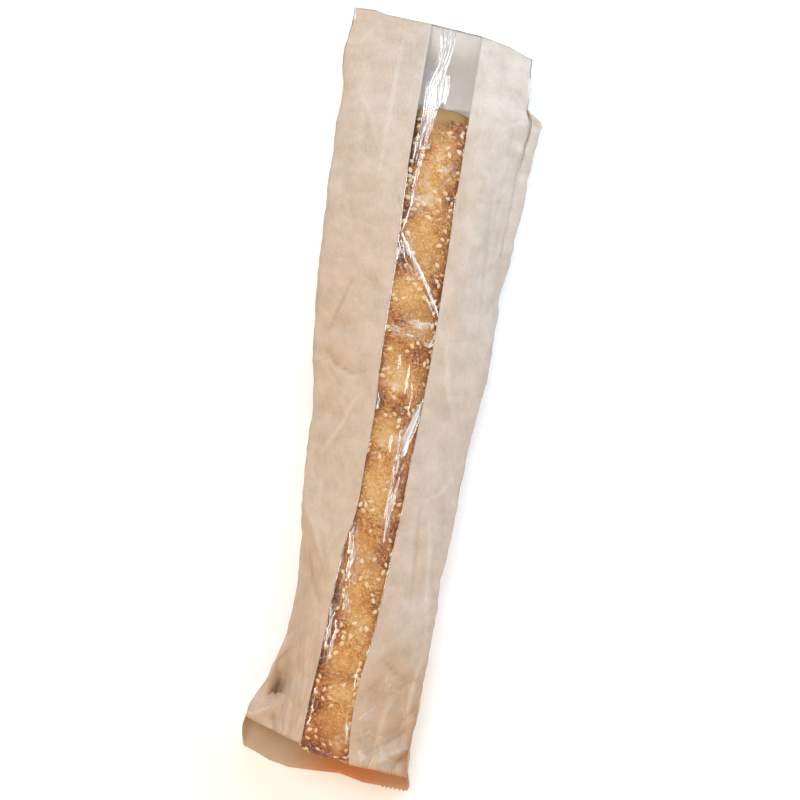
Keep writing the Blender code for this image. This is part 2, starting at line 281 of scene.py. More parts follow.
def hills(u, v, grain, seed, stretch=1.0):
    """Smooth hills between -1 and 1, grain millimetres apart in u and grain * stretch in v."""
    heights = np.random.default_rng(seed).uniform(-1.0, 1.0, (HILL_TABLE, HILL_TABLE))
    x, y = u / grain + TABLE_START[0], v / (grain * stretch) + TABLE_START[1]
    column, row = np.floor(x).astype(int), np.floor(y).astype(int)
    x, y = x - column, y - row
    x, y = x * x * (3.0 - 2.0 * x), y * y * (3.0 - 2.0 * y)

    def at(down, right):
        return heights[(row + down) % HILL_TABLE, (column + right) % HILL_TABLE]

    return mix(mix(at(0, 0), at(0, 1), x), mix(at(1, 0), at(1, 1), x), y)


def creases(u, v, grain, seed, stretch=1.0):
    """Sharp little valleys where the hills cross zero, from -1 to about 0.5."""
    return 0.5 - 1.5 * (1.0 - np.abs(hills(u, v, grain, seed, stretch))) ** 3


print("a row of hills repeats after", HILL_TABLE)

# %% [markdown]
# ## Meshes from grids
# Nearly every piece is a grid of points. Blender stores a mesh as a flat list of points and a
# list of faces, so one function turns a grid into both. It also stores named numbers on the
# points, called attributes, which the materials read later.

# %% Turn a grid of points into an object
def grid_faces(rows, columns, wrap=False):
    """Corner numbers of the quads between neighbouring points of a grid."""
    number = np.arange(rows * columns).reshape(rows, columns)
    if wrap:
        number = np.concatenate([number, number[:, :1]], axis=1)
    return np.stack([number[:-1, :-1], number[:-1, 1:], number[1:, 1:], number[1:, :-1]],
                    axis=-1).reshape(-1, 4)


def make_piece(name, points, faces, numbers=None):
    """A smooth-shaded mesh object; numbers maps attribute names to one value per point."""
    mesh = bpy.data.meshes.new(name)
    mesh.from_pydata(points.reshape(-1, 3), [], faces)
    mesh.update()
    for label, values in (numbers or {}).items():
        kind = "FLOAT_VECTOR" if values.shape[-1] == 3 and values.ndim > 1 else "FLOAT"
        field = "vector" if kind == "FLOAT_VECTOR" else "value"
        stored = mesh.attributes.new(label, kind, "POINT")
        stored.data.foreach_set(field, np.ascontiguousarray(values, dtype=np.float32).ravel())
    mesh.shade_smooth()
    item = bpy.data.objects.new(name, mesh)
    bpy.context.scene.collection.objects.link(item)
    return item


def grid_normals(points):
    """Unit normals of a grid of points."""
    down, right = np.gradient(points, axis=0), np.gradient(points, axis=1)
    normal = np.cross(right, down)
    return normal / np.maximum(np.linalg.norm(normal, axis=-1, keepdims=True), 1e-12)


def thicken(sheet_item, thickness):
    """Give a sheet its thickness in millimetres, half of it to each side."""
    solid = sheet_item.modifiers.new("thickness", "SOLIDIFY")
    solid.thickness = thickness * MM
    solid.offset = 0.0
    return solid


print("faces of a grid of 3 by 3 points:", len(grid_faces(3, 3)))

# %% [markdown]
# ## The paper
# Kraft paper is thin (about 0.1 mm) and springy: it makes flat panels, crisp folds and shallow
# crumples. The sheet is lofted panel by panel between the rails, from one edge of the window
# round the back to the other edge. At the mouth the cut edge leaves its square line, because
# the front layer was cut back and the layers slid over each other.

# %% Panels of the sheet and its cut edges
ROW_COUNT = 206
PANELS = [
    ("window_left", "front_left", 40), ("front_left", "crease_left", 26),
    ("crease_left", "back_left", 14), ("back_left", "under_left", 32),
    ("under_left", "under_right", 20), ("under_right", "back_right", 28),
    ("back_right", "crease_right", 14), ("crease_right", "front_right", 24),
    ("front_right", "window_right", 30),
]
LEFT_FRONT, LEFT_WING, LEFT_LOWER, RIGHT_GUSSET, RIGHT_FRONT = 0, 1, 2, 7, 8
BACK_PANELS = (3, 4, 5)
MOUTH_REACH = 80.0                   # how far up the bag the rows stretch to meet the cut edge
MOUTH_EDGE = {
    "window_left": 464.5, "front_left": 461.5, "crease_left": 456.0, "back_left": 475.4,
    "under_left": 484.0, "under_right": 487.0, "back_right": 487.2, "crease_right": 484.5,
    "front_right": 477.0, "window_right": 472.5,
}
BACK_LIP = [(-56.0, 475.4), (-47.0, 478.6), (-37.0, 482.5), (-24.0, 485.0), (-5.0, 484.4),
            (8.0, 483.7), (15.0, 485.0), (24.0, 487.0), (50.0, 487.2)]
print("paper panels:", len(PANELS), "columns:", sum(count for _, _, count in PANELS) + 1)

# %% [markdown]
# Each panel bows out a little, as springy paper does. The two gussets need more than that. The
# left one hangs slack near the mouth, with a pocket pushed into it. The right one popped out
# near the sealed end, where its paper hangs in a step below the front fold, and a narrow fold
# like a slit runs beside that step.

# %% One panel between two rails
BULGE = {"front_left": 4.5, "front_right": 3.5}
GUSSET_BOW = 0.9
FOLD_WOBBLE = 0.45
FOLD_SEEDS = {"front_left": 51, "crease_left": 52, "crease_right": 53, "front_right": 54}
WING_SAG, WING_SAG_ZONE = 2.6, (400.0, 425.0, 452.0, 462.0)
POCKET_START, POCKET_BRINK, POCKET_DEPTH = 413.0, 443.0, 12.0
POCKET_SHARE, POCKET_WIDTH = 0.38, 0.22          # its middle and width, as shares of the panel
BRINK_SLANT, BRINK_SIDE, BRINK_REACH = 0.63, -37.6, 20.0     # the brink slants past this side
POCKET_DRAG = 0.30                               # deep paper is also dragged along the bag
STEP_HEIGHT, STEP_ZONE, STEP_SHARE = 3.6, (42.0, 50.0, 110.0, 210.0), 0.88
SLIT_DEPTH, SLIT_ZONE = 4.0, (42.0, 47.0, 62.0, 96.0)
SLIT_SHARE, SLIT_WIDTH = 0.91, 0.04


def zone(start, full, fading, stop, value):
    """1 from full to fading, with soft ramps down to 0 at start and stop."""
    return smooth(start, full, value) * (1.0 - smooth(fading, stop, value))


def at_mouth(along, edge):
    """Stretch the stations near the mouth, so that a column ends at its own cut edge."""
    pull = smooth(FRONT_LENGTH - MOUTH_REACH, FRONT_LENGTH, along)
    return along + (edge - FRONT_LENGTH) * pull


def handled(name, along):
    """A rail, with its fold rubbed out of true by handling."""
    across, height = rail(name, along)
    if name in FOLD_SEEDS:
        rub = hills(along, 0.0 * along, 4.6, FOLD_SEEDS[name])
        rub = rub + hills(along, 0.0 * along, 11.0, FOLD_SEEDS[name] + 4)
        across = across + FOLD_WOBBLE * rub * smooth(2.0, 12.0, along)
    return across, height


def push_pocket(across, along, height, share):
    """The left gusset's slack and its pocket: the new places along and heights."""
    bow = 4.0 * share * (1.0 - share)
    height = height - WING_SAG * bow * zone(*WING_SAG_ZONE, along)
    brink = POCKET_BRINK + BRINK_SLANT * np.clip(BRINK_SIDE - across, 0.0, BRINK_REACH)
    into = np.clip((along - POCKET_START) / (brink - POCKET_START), 0.0, 1.0)
    depth = POCKET_DEPTH * into * np.exp(-(((share - POCKET_SHARE) / POCKET_WIDTH) ** 2))
    depth = np.where(along < brink, depth, 0.0)
    return along + POCKET_DRAG * depth, height - depth


def popped_step(along, share):
    """How far the popped right gusset hangs below its front fold."""
    hang = 1.0 - smooth(STEP_SHARE, 1.0, share)
    slit = zone(*SLIT_ZONE, along) * np.exp(-(((share - SLIT_SHARE) / SLIT_WIDTH) ** 2))
    return STEP_HEIGHT * zone(*STEP_ZONE, along) * hang * share + SLIT_DEPTH * slit


def panel_points(first, last, share, along):
    """Across, along and height of one panel between two rails."""
    x0, z0 = handled(first, along)
    x1, z1 = handled(last, along)
    across, height = mix(x0, x1, share), mix(z0, z1, share)
    bow = 4.0 * share * (1.0 - share)
    if "window" in first or "window" in last:
        fold = last if "window" in first else first
        height = height + BULGE[fold] * bow * smooth(0.0, LOAF_START, along)
    elif "crease" in first or "crease" in last:
        side = -1.0 if "left" in first else 1.0
        across = across + side * GUSSET_BOW * bow * smooth(10.0, 60.0, along)
    if first == "front_left":
        along, height = push_pocket(across, along, height, share)
    if last == "front_right":
        height = height - popped_step(along, share)
    edge = mix(MOUTH_EDGE[first], MOUTH_EDGE[last], share)
    if "under" in first or "under" in last:
        edge = np.interp(across, *np.transpose(BACK_LIP))
    return across, at_mouth(along, edge), height


print("height of the right gusset's step in mm:", STEP_HEIGHT)

# %% Loft the sheet
along_rows = np.linspace(0.0, FRONT_LENGTH, ROW_COUNT)[:, None]
parts, panel_of = [], []
for index, (first, last, count) in enumerate(PANELS):
    stop = index == len(PANELS) - 1
    share = np.linspace(0.0, 1.0, count + 1)[None, :]
    share = share if stop else share[:, :-1]
    parts.append(np.stack(np.broadcast_arrays(*panel_points(first, last, share, along_rows)), -1))
    panel_of += [index] * share.shape[1]
sheet = np.concatenate(parts, axis=1)
panel_of = np.array(panel_of)
print("paper grid:", sheet.shape[:2])

# %% [markdown]
# The loaf pushes the sheet up wherever the straight panel would cut into it, and the back
# panel curls up near its folds where the gusset pulls on it.

# %% Keep clear of the loaf and curl the back
PAPER_CLEARANCE = 1.5
BACK_CURL = 9.0

across, along, height = sheet[..., 0], sheet[..., 1], sheet[..., 2]
front = np.isin(panel_of, (LEFT_FRONT, RIGHT_FRONT))[None, :]
over_loaf = loaf_top(along, across) + PAPER_CLEARANCE
height = np.where(front, np.maximum(height, over_loaf), height)
back = np.isin(panel_of, BACK_PANELS)[None, :]
left_edge, left_height = rail("back_left", along_rows)
right_edge, right_height = rail("back_right", along_rows)
curl_left = np.clip(1.0 - (across - left_edge) / BACK_CURL, 0.0, 1.0) ** 2 * left_height
curl_right = np.clip(1.0 - (right_edge - across) / BACK_CURL, 0.0, 1.0) ** 2 * right_height
lying = smooth(30.0, 60.0, along_rows)
height = np.where(back, mix(height, curl_left + curl_right, lying), height)
sheet = np.stack([across, along, height], axis=-1)
print("paper's top in mm:", round(float(height.max()), 1))

# %% [markdown]
# ### Crumples
# Handling leaves broad dents a few centimetres wide, and finer creases between them. Both move
# the paper along its own normal. They fade near the window, where the glued film holds the
# paper flat, and the back panel only lifts, because the table is under it.

# %% Random crumples
CRUMPLES = [                         # shape, rise, grain, seed, stretch along the bag
    (hills, 0.90, 34.0, 11, 1.6), (hills, 0.55, 15.0, 12, 1.4), (creases, 0.65, 26.0, 13, 1.5),
    (creases, 0.34, 12.0, 14, 1.3), (hills, 0.12, 5.0, 15, 1.0),
]
NARROW_PANEL_SHARE, BACK_SHARE = 0.5, 0.5        # stiff left gusset, and back on the table

step_across = np.linalg.norm(np.diff(sheet, axis=1), axis=-1)
flat_u = np.concatenate([np.zeros((ROW_COUNT, 1)), np.cumsum(step_across, axis=1)], axis=1)
flat_u = np.broadcast_to(flat_u[ROW_COUNT // 2], flat_u.shape)
flat_v = along
from_window = np.minimum(flat_u, flat_u[:, -1:] - flat_u)

dents = sum(rise * shape(flat_u, flat_v, grain, seed, stretch)
            for shape, rise, grain, seed, stretch in CRUMPLES)
held = 0.25 + 0.75 * smooth(1.0, 14.0, from_window)
mouth_loose = 1.0 + 0.8 * smooth(330.0, 450.0, along)
dents = dents * held * mouth_loose * smooth(0.0, 12.0, along)
left_gusset = np.isin(panel_of, (LEFT_WING, LEFT_LOWER))
dents = dents * np.where(left_gusset, NARROW_PANEL_SHARE, 1.0)[None, :]
dents = np.where(back, np.abs(dents) * BACK_SHARE, dents)
print("random crumples in mm:", round(float(dents.min()), 2), "to", round(float(dents.max()), 2))

# %% [markdown]
# Some marks are too plain to leave to chance: broad dents where a hand pressed, pinched creases
# between them, the folds pressed into the right corner, and a strip beside the window that
# stands up. A dent is a soft hill at a place. A pinch is a keen ridge along a path.

# %% Dents and pinches made by hand
DENTS = [                            # panel, (along, across), size, turn in degrees, rise
    (RIGHT_FRONT, (474.0, 40.0), (42.0, 15.0), 0, -6.0),
    (RIGHT_FRONT, (436.0, 38.0), (14.0, 13.0), 0, -1.6),
    (RIGHT_FRONT, (300.0, 40.0), (60.0, 12.0), 4, -1.6),
    (RIGHT_FRONT, (467.5, 46.0), (2.4, 3.0), 0, -2.2),
    (RIGHT_FRONT, (120.0, 38.0), (60.0, 10.0), -3, 1.2),
    (RIGHT_GUSSET, (54.0, 66.8), (3.2, 3.0), 0, -3.4),
    (RIGHT_GUSSET, (200.0, 60.0), (12.0, 3.0), 0, -1.4),
    (LEFT_FRONT, (256.0, -33.0), (44.0, 15.0), 0, -2.4),
    (LEFT_FRONT, (427.0, -23.0), (26.0, 9.0), 0, -1.6),
    (LEFT_FRONT, (95.0, -42.0), (40.0, 14.0), 8, 1.3),
    (LEFT_FRONT, (335.0, -28.0), (22.0, 8.0), 10, 1.5),
]
PINCHES = [                          # panel, width, rise, path of (along, across) points
    (RIGHT_FRONT, 5.5, -3.0, [(465, 23), (458, 32), (451, 41), (446, 49)]),
    (RIGHT_FRONT, 4.5, 2.6, [(471, 27), (465, 36), (461, 44), (458, 51)]),
    (RIGHT_FRONT, 3.6, -2.4, [(476, 39), (468, 43), (461, 50)]),
    (RIGHT_FRONT, 4.0, 1.6, [(428, 33), (438, 29), (452, 28), (470, 34)]),
    (RIGHT_FRONT, 4.0, 2.0, [(398, 50), (416, 45), (436, 44), (450, 47)]),
    (RIGHT_FRONT, 5.0, -1.8, [(404, 22), (412, 30), (418, 40), (416, 50)]),
    (RIGHT_FRONT, 4.0, 1.6, [(312, 38), (352, 43), (396, 49)]),
    (RIGHT_FRONT, 3.5, -1.4, [(296, 30), (330, 32), (376, 35)]),
    (RIGHT_FRONT, 4.0, 1.2, [(286, 50), (300, 42), (306, 32), (304, 24)]),
    (RIGHT_FRONT, 3.0, -1.2, [(96, 44), (150, 47), (206, 50)]),
    (RIGHT_FRONT, 3.5, 1.2, [(206, 30), (236, 36), (262, 47)]),
    (LEFT_FRONT, 3.0, -1.6, [(172, -32), (192, -38), (212, -44)]),
    (LEFT_FRONT, 4.0, -2.0, [(218, -46), (230, -34), (234, -24), (232, -14)]),
    (LEFT_FRONT, 3.5, 1.6, [(246, -18), (268, -26), (290, -38)]),
    (LEFT_FRONT, 4.0, 1.8, [(318, -40), (336, -31), (354, -22)]),
    (LEFT_FRONT, 3.5, -1.6, [(344, -34), (364, -28), (380, -20)]),
    (LEFT_FRONT, 3.0, -1.2, [(352, -36), (376, -35), (404, -33)]),
    (LEFT_FRONT, 1.5, 1.2, [(4, -27), (60, -27.5), (120, -28)]),
    (LEFT_FRONT, 4.0, 1.3, [(52, -52), (70, -40), (94, -30)]),
    (LEFT_WING, 4.5, 3.0, [(444, -36), (450, -45), (457, -57)]),
    (LEFT_WING, 4.0, -2.6, [(406, -33), (420, -41.5), (440, -38)]),
    (LEFT_WING, 3.6, 2.4, [(398, -34), (416, -44), (432, -46), (446, -47)]),
    (LEFT_WING, 3.0, -2.4, [(450, -39), (456, -37), (464, -35)]),
]
STRIP_PLACE, STRIP_RISE = (436.0, 21.8), 1.5     # the strip starts here and ends beside here
print("dents:", len(DENTS), "pinches:", len(PINCHES))


# %% Hills at a place and ridges along a path
def bump(along, across, place, size, turn=0.0):
    """A soft round or drawn-out hill, 1 at its top; size is (along, across)."""
    run, side = along - place[0], across - place[1]
    a = run * math.cos(turn) + side * math.sin(turn)
    b = side * math.cos(turn) - run * math.sin(turn)
    return np.exp(-((a / size[0]) ** 2) - (b / size[1]) ** 2)


def beside(path, along, across):
    """How far each point is to the side of a path, and how far along it, in millimetres."""
    aside, run = np.full(along.shape, np.inf), np.zeros(along.shape)
    done = 0.0
    for (a0, x0), (a1, x1) in zip(path, path[1:]):
        length = math.dist((a0, x0), (a1, x1))
        step_a, step_x = (a1 - a0) / length, (x1 - x0) / length
        t = np.clip((along - a0) * step_a + (across - x0) * step_x, 0.0, length)
        off_a, off_x = along - a0 - t * step_a, across - x0 - t * step_x
        side = np.where(off_x * step_a > off_a * step_x, 1.0, -1.0) * np.hypot(off_a, off_x)
        closer = np.abs(side) < np.abs(aside)
        aside, run = np.where(closer, side, aside), np.where(closer, done + t, run)
        done += length
    return aside, run, done


def ridge(path, width, height, along, across, sharp=2.0):
    """A ridge along a path, tapering to nothing at its two ends; sharp=1 gives a keen edge."""
    aside, run, length = beside(path, along, across)
    taper = np.sqrt(np.sin(math.pi * np.clip(run / length, 0.02, 0.98)))
    return height * taper * np.exp(-((np.abs(aside) / width) ** sharp))


def made_by_hand(along, across, panel):
    """How far the dents, the pinches and the strip beside the window lift the paper."""
    lift = np.zeros_like(along)
    for where, place, size, turn, rise in DENTS:
        dent = rise * bump(along, across, place, size, math.radians(turn))
        lift = lift + np.where(panel == where, dent, 0.0)
    for where, width, rise, path in PINCHES:
        pinch = ridge(path, width, rise, along, across, sharp=1.0)
        lift = lift + np.where(panel == where, pinch, 0.0)
    strip = smooth(0.0, 5.0, along - STRIP_PLACE[0]) \
        * (1.0 - smooth(-0.6, 0.6, across - STRIP_PLACE[1]))
    return lift + np.where(panel == RIGHT_FRONT, STRIP_RISE * strip, 0.0)


# %% Crumple the sheet
panel_grid = np.broadcast_to(panel_of[None, :], along.shape)
made = made_by_hand(along, across, panel_grid) * smooth(0.5, 6.0, from_window)
paper = in_frame(sheet[..., 0], sheet[..., 1], sheet[..., 2] + made)
normals = grid_normals(paper)
outward = np.where(normals[:, :1, 2:] < 0.0, -1.0, 1.0)
paper = paper + normals * outward * dents[..., None] * MM
above_loaf = (loaf_top(along, across) + PAPER_CLEARANCE + LAYER_UP) * MM
paper[..., 2] = np.where(front, np.maximum(paper[..., 2], above_loaf), paper[..., 2])
paper[..., 2] = np.maximum(paper[..., 2], LAYER_UP * MM)
print("dents made by hand in mm:", round(float(made.min()), 2), "to", round(float(made.max()), 2))

# %% [markdown]
# Bakery bags are torn off a roll against a toothed knife, so the cut edge is a fine zigzag. At
# the right corner and on the back the columns are about 1.3 mm wide, so moving every second one
# gives 2.6 mm teeth.

# %% Toothed edges
TOOTH_DEPTH = (0.5, 1.5)             # worn over most of the mouth, sharp at the right corner

teeth = np.arange(paper.shape[1]) % 2 * mix(*TOOTH_DEPTH, smooth(33.0, 38.0, across[-1]))
paper[-1, :, 1] -= teeth * MM
print("teeth at the mouth:", np.count_nonzero(teeth))

# %% [markdown]
# ### Wear and painted light
# Some marks are tone more than shape. The darker, warmer patches of the outer face are painted
# shade, the orange-brown of the inner face at the mouth is painted warm light bounced off the crust
# with painted shade, and the mouth is limp and full of small creases, whose lines are painted paler
# or darker. They could be painted on an image, but a number on each point needs no unwrapping and
# keeps the marks on the dents that they belong to. The materials read them.

# %% Maps of wear
CREASE_LINE_WIDTH = 1.6              # a pinch leaves a line this far to each side of its path
FULL_LINE_RISE = 2.0                 # a pinch that rises or sinks this far leaves a full line
POCKET_SHADE = ((436.0, -42.0), (14.0, 7.0))     # (along, across) and size
PAINTED_SHADE_ON_LEFT = [                   # strength, zone along the bag; the first has no start
    (0.60, (-2.0, -1.0, 10.0, 90.0)), (0.25, (110.0, 170.0, 255.0, 300.0)),
    (0.30, (310.0, 360.0, 385.0, 420.0)),
]


def crease_lines(along, across, panel):
    """Where a crease is pressed in (below 0) or stands up (above 0)."""
    lines = np.zeros_like(along)
    for where, _, rise, path in PINCHES:
        strength = np.clip(rise / FULL_LINE_RISE, -1.0, 1.0)
        line = ridge(path, CREASE_LINE_WIDTH, strength, along, across, sharp=1.0)
        lines = lines + np.where(panel == where, line, 0.0)
    return lines


# painted shade in the left gusset's pocket
pocket_shade = bump(along, across, *POCKET_SHADE) * (panel_grid == LEFT_WING)
left_half = 1.0 - smooth(-30.0, 0.0, across)
# painted warm light bounced off the crust, with painted shade, on the inner face at the mouth
warm_bounce_and_shade = (0.12 + 0.88 * smooth(-26.0, 6.0, across)) * (1.0 - 0.5 * smooth(20.0, 44.0, across)) \
    * smooth(432.0, 468.0, along)
# painted shade: darker, warmer patches near the mouth, in the pocket and down the left side
painted_shade = smooth(385.0, 420.0, along) * (0.3 + 0.55 * smooth(0.0, 25.0, across)) \
    * (1.0 - 0.5 * smooth(434.0, 456.0, along)) + 0.6 * pocket_shade
for strength, reach in PAINTED_SHADE_ON_LEFT:
    painted_shade = painted_shade + left_half * strength * zone(*reach, along)
limp = np.where(panel_grid == LEFT_FRONT, 0.45, 1.0)
loose = 0.35 + 0.65 * smooth(390.0, 450.0, along) * limp
# crease lines painted paler where raised and darker where pressed; the pocket's painted shade
# darkens them too
painted_crease_lines = crease_lines(along, across, panel_grid) - 0.75 * pocket_shade
# prints the strongest painted shade, from 0 to 1
print("greasiest spot, from 0 to 1:", round(float(painted_shade.max()), 2))

# %% The paper object
PAPER_THICKNESS = 0.12

flat_place = np.stack([flat_u, flat_v, np.zeros_like(flat_u)], axis=-1)
bag = make_piece("kraft_bag", paper, grid_faces(*paper.shape[:2]),
                 {"flat_place": flat_place, "from_window": from_window, "warm_bounce_and_shade": warm_bounce_and_shade,
                  "painted_crease_lines": painted_crease_lines, "painted_shade": painted_shade, "loose": loose})
thicken(bag, PAPER_THICKNESS).material_offset = 1    # the second material goes to the inner face
print("paper quads before thickness:", len(bag.data.polygons))

# %% [markdown]
# The sealed end is closed by a strip of the sheet folded over the end and glued to the back.
# It is made from the points it touches: it starts on the front's edge, turns round the end and
# lies on the back for 14 mm.

# %% Folded end flap
FLAP_COLUMNS = 90
FLAP_GAP = 0.16                      # between the middles of the two layers
FLAP_ROWS = (2, 4, 6)                # rows of the sheet that the flap lies on
FLAP_ROW_STEP = 4.0                  # about this far apart on the flat sheet
FLAP_FROM_WINDOW = 30.0              # far enough from the window to have no glue ribs

flap_x = np.linspace(paper[0, :, 0].min(), paper[0, :, 0].max(), FLAP_COLUMNS)
front_columns = np.flatnonzero(front[0])
back_columns = np.flatnonzero(back[0])


def along_flap(row, columns):
    """The sheet's points of one row, read at the flap's columns."""
    points = paper[row, columns]
    points = points[np.argsort(points[:, 0])]
    return np.stack([flap_x, np.interp(flap_x, points[:, 0], points[:, 1]),
                     np.interp(flap_x, points[:, 0], points[:, 2])], axis=-1)


upper, lower = along_flap(0, front_columns), along_flap(0, back_columns)
round_end = mix(upper, lower, 0.5)
round_end[:, 1] += 2.0 * FLAP_GAP * MM
upper[:, 2] += FLAP_GAP * MM
lower[:, 2] -= FLAP_GAP * MM
on_back = [along_flap(row, back_columns) for row in FLAP_ROWS]
for line in on_back:
    line[:, 2] = np.maximum(line[:, 2] - 1.6 * FLAP_GAP * MM, LAYER_UP * MM)
flap_points = np.stack([upper, round_end, lower] + on_back)
flap_v = FLAP_ROW_STEP * np.arange(len(flap_points))[:, None] * np.ones(FLAP_COLUMNS)
flap_place = np.stack([flap_x / MM + 0.0 * flap_v, flap_v, 0.0 * flap_v], axis=-1)
flap = make_piece("end_flap", flap_points, grid_faces(*flap_points.shape[:2]),
                  {"flat_place": flap_place, "from_window": np.full_like(flap_v, FLAP_FROM_WINDOW)})
thicken(flap, PAPER_THICKNESS)
print("flap reaches back in mm:", round(float((upper[0, 1] - on_back[-1][0, 1]) / MM), 1))

# %% [markdown]
# ## The film
# The window is a strip of clear film, thinner than the paper, glued behind its two cut edges.
# It bridges from edge to edge, pulled tight over the crest of the loaf: every point is raised
# to the middle of its neighbours until nothing sags. It is full of wrinkles, because film can't
# stretch. Its grid is finer than the paper's, since each bright line in it is a ridge only a
# millimetre wide. The outer columns copy the paper's edge, so that the two never part.

# %% The film's smooth surface
FILM_ROWS = 470
FILM_COLUMNS = 86                    # between the two edges of the paper
TUCKED = 6                           # columns of the paper that the film reaches under
FILM_DROP = (0.12, 0.7)              # glued to the paper at its edge, slack further under it
FILM_ARCH, ARCH_ZONE = 2.5, (436.0, 462.0)       # the film arches up at the open mouth
FILM_CLEARANCE = 1.0
PULL_STEPS = 1800


def resample(columns):
    """Read the paper's columns at the film's finer rows."""
    paper_rows, film_rows = np.linspace(0, 1, ROW_COUNT), np.linspace(0, 1, FILM_ROWS)
    flat = columns.reshape(ROW_COUNT, -1)
    flat = np.stack([np.interp(film_rows, paper_rows, line) for line in flat.T], axis=-1)
    return flat.reshape(FILM_ROWS, -1, 3)


left_strip = resample(paper[:, TUCKED::-1])
right_strip = resample(paper[:, :-TUCKED - 2:-1])
left_edge_line, right_edge_line = left_strip[:, -1:], right_strip[:, :1]
share = np.linspace(0.0, 1.0, FILM_COLUMNS + 1)[None, 1:-1, None]
clear_part = mix(left_edge_line, right_edge_line, share)
film = np.concatenate([left_strip, clear_part, right_strip], axis=1)
column = np.arange(film.shape[1])
depth_in = np.maximum(TUCKED - column, column - (film.shape[1] - 1 - TUCKED))
drop = np.interp(depth_in, [0, TUCKED], FILM_DROP)[None, :, None]
film_normals = grid_normals(film)
film -= film_normals * np.sign(film_normals[..., 2:]) * drop * MM
film_across = (film[..., 0] - ZERO_X) / MM
film_along = (ZERO_Y - film[..., 1]) / MM
free = np.zeros(film.shape[:2])
free[:, TUCKED + 1:-TUCKED - 1] = 1.0
over_loaf = (loaf_top(film_along, film_across) + FILM_CLEARANCE + LAYER_UP) * MM
crown = np.clip((column - TUCKED) / (FILM_COLUMNS - 1.0), 0.0, 1.0)
crown = np.sin(math.pi * crown) ** 2 * smooth(*ARCH_ZONE, film_along)
film[..., 2] += FILM_ARCH * crown * MM
film[..., 2] = np.where(free > 0, np.maximum(film[..., 2], over_loaf), film[..., 2])
heights = film[..., 2]               # a view of the film: raising it raises the film
for _ in range(PULL_STEPS):
    for lines, can_rise in ((heights, free > 0), (heights.T, free.T > 0)):
        halfway = (lines[:, :-2] + lines[:, 2:]) / 2
        lines[:, 1:-1] = np.where(can_rise[:, 1:-1], np.maximum(lines[:, 1:-1], halfway),
                                  lines[:, 1:-1])
print("film grid:", film.shape[:2])
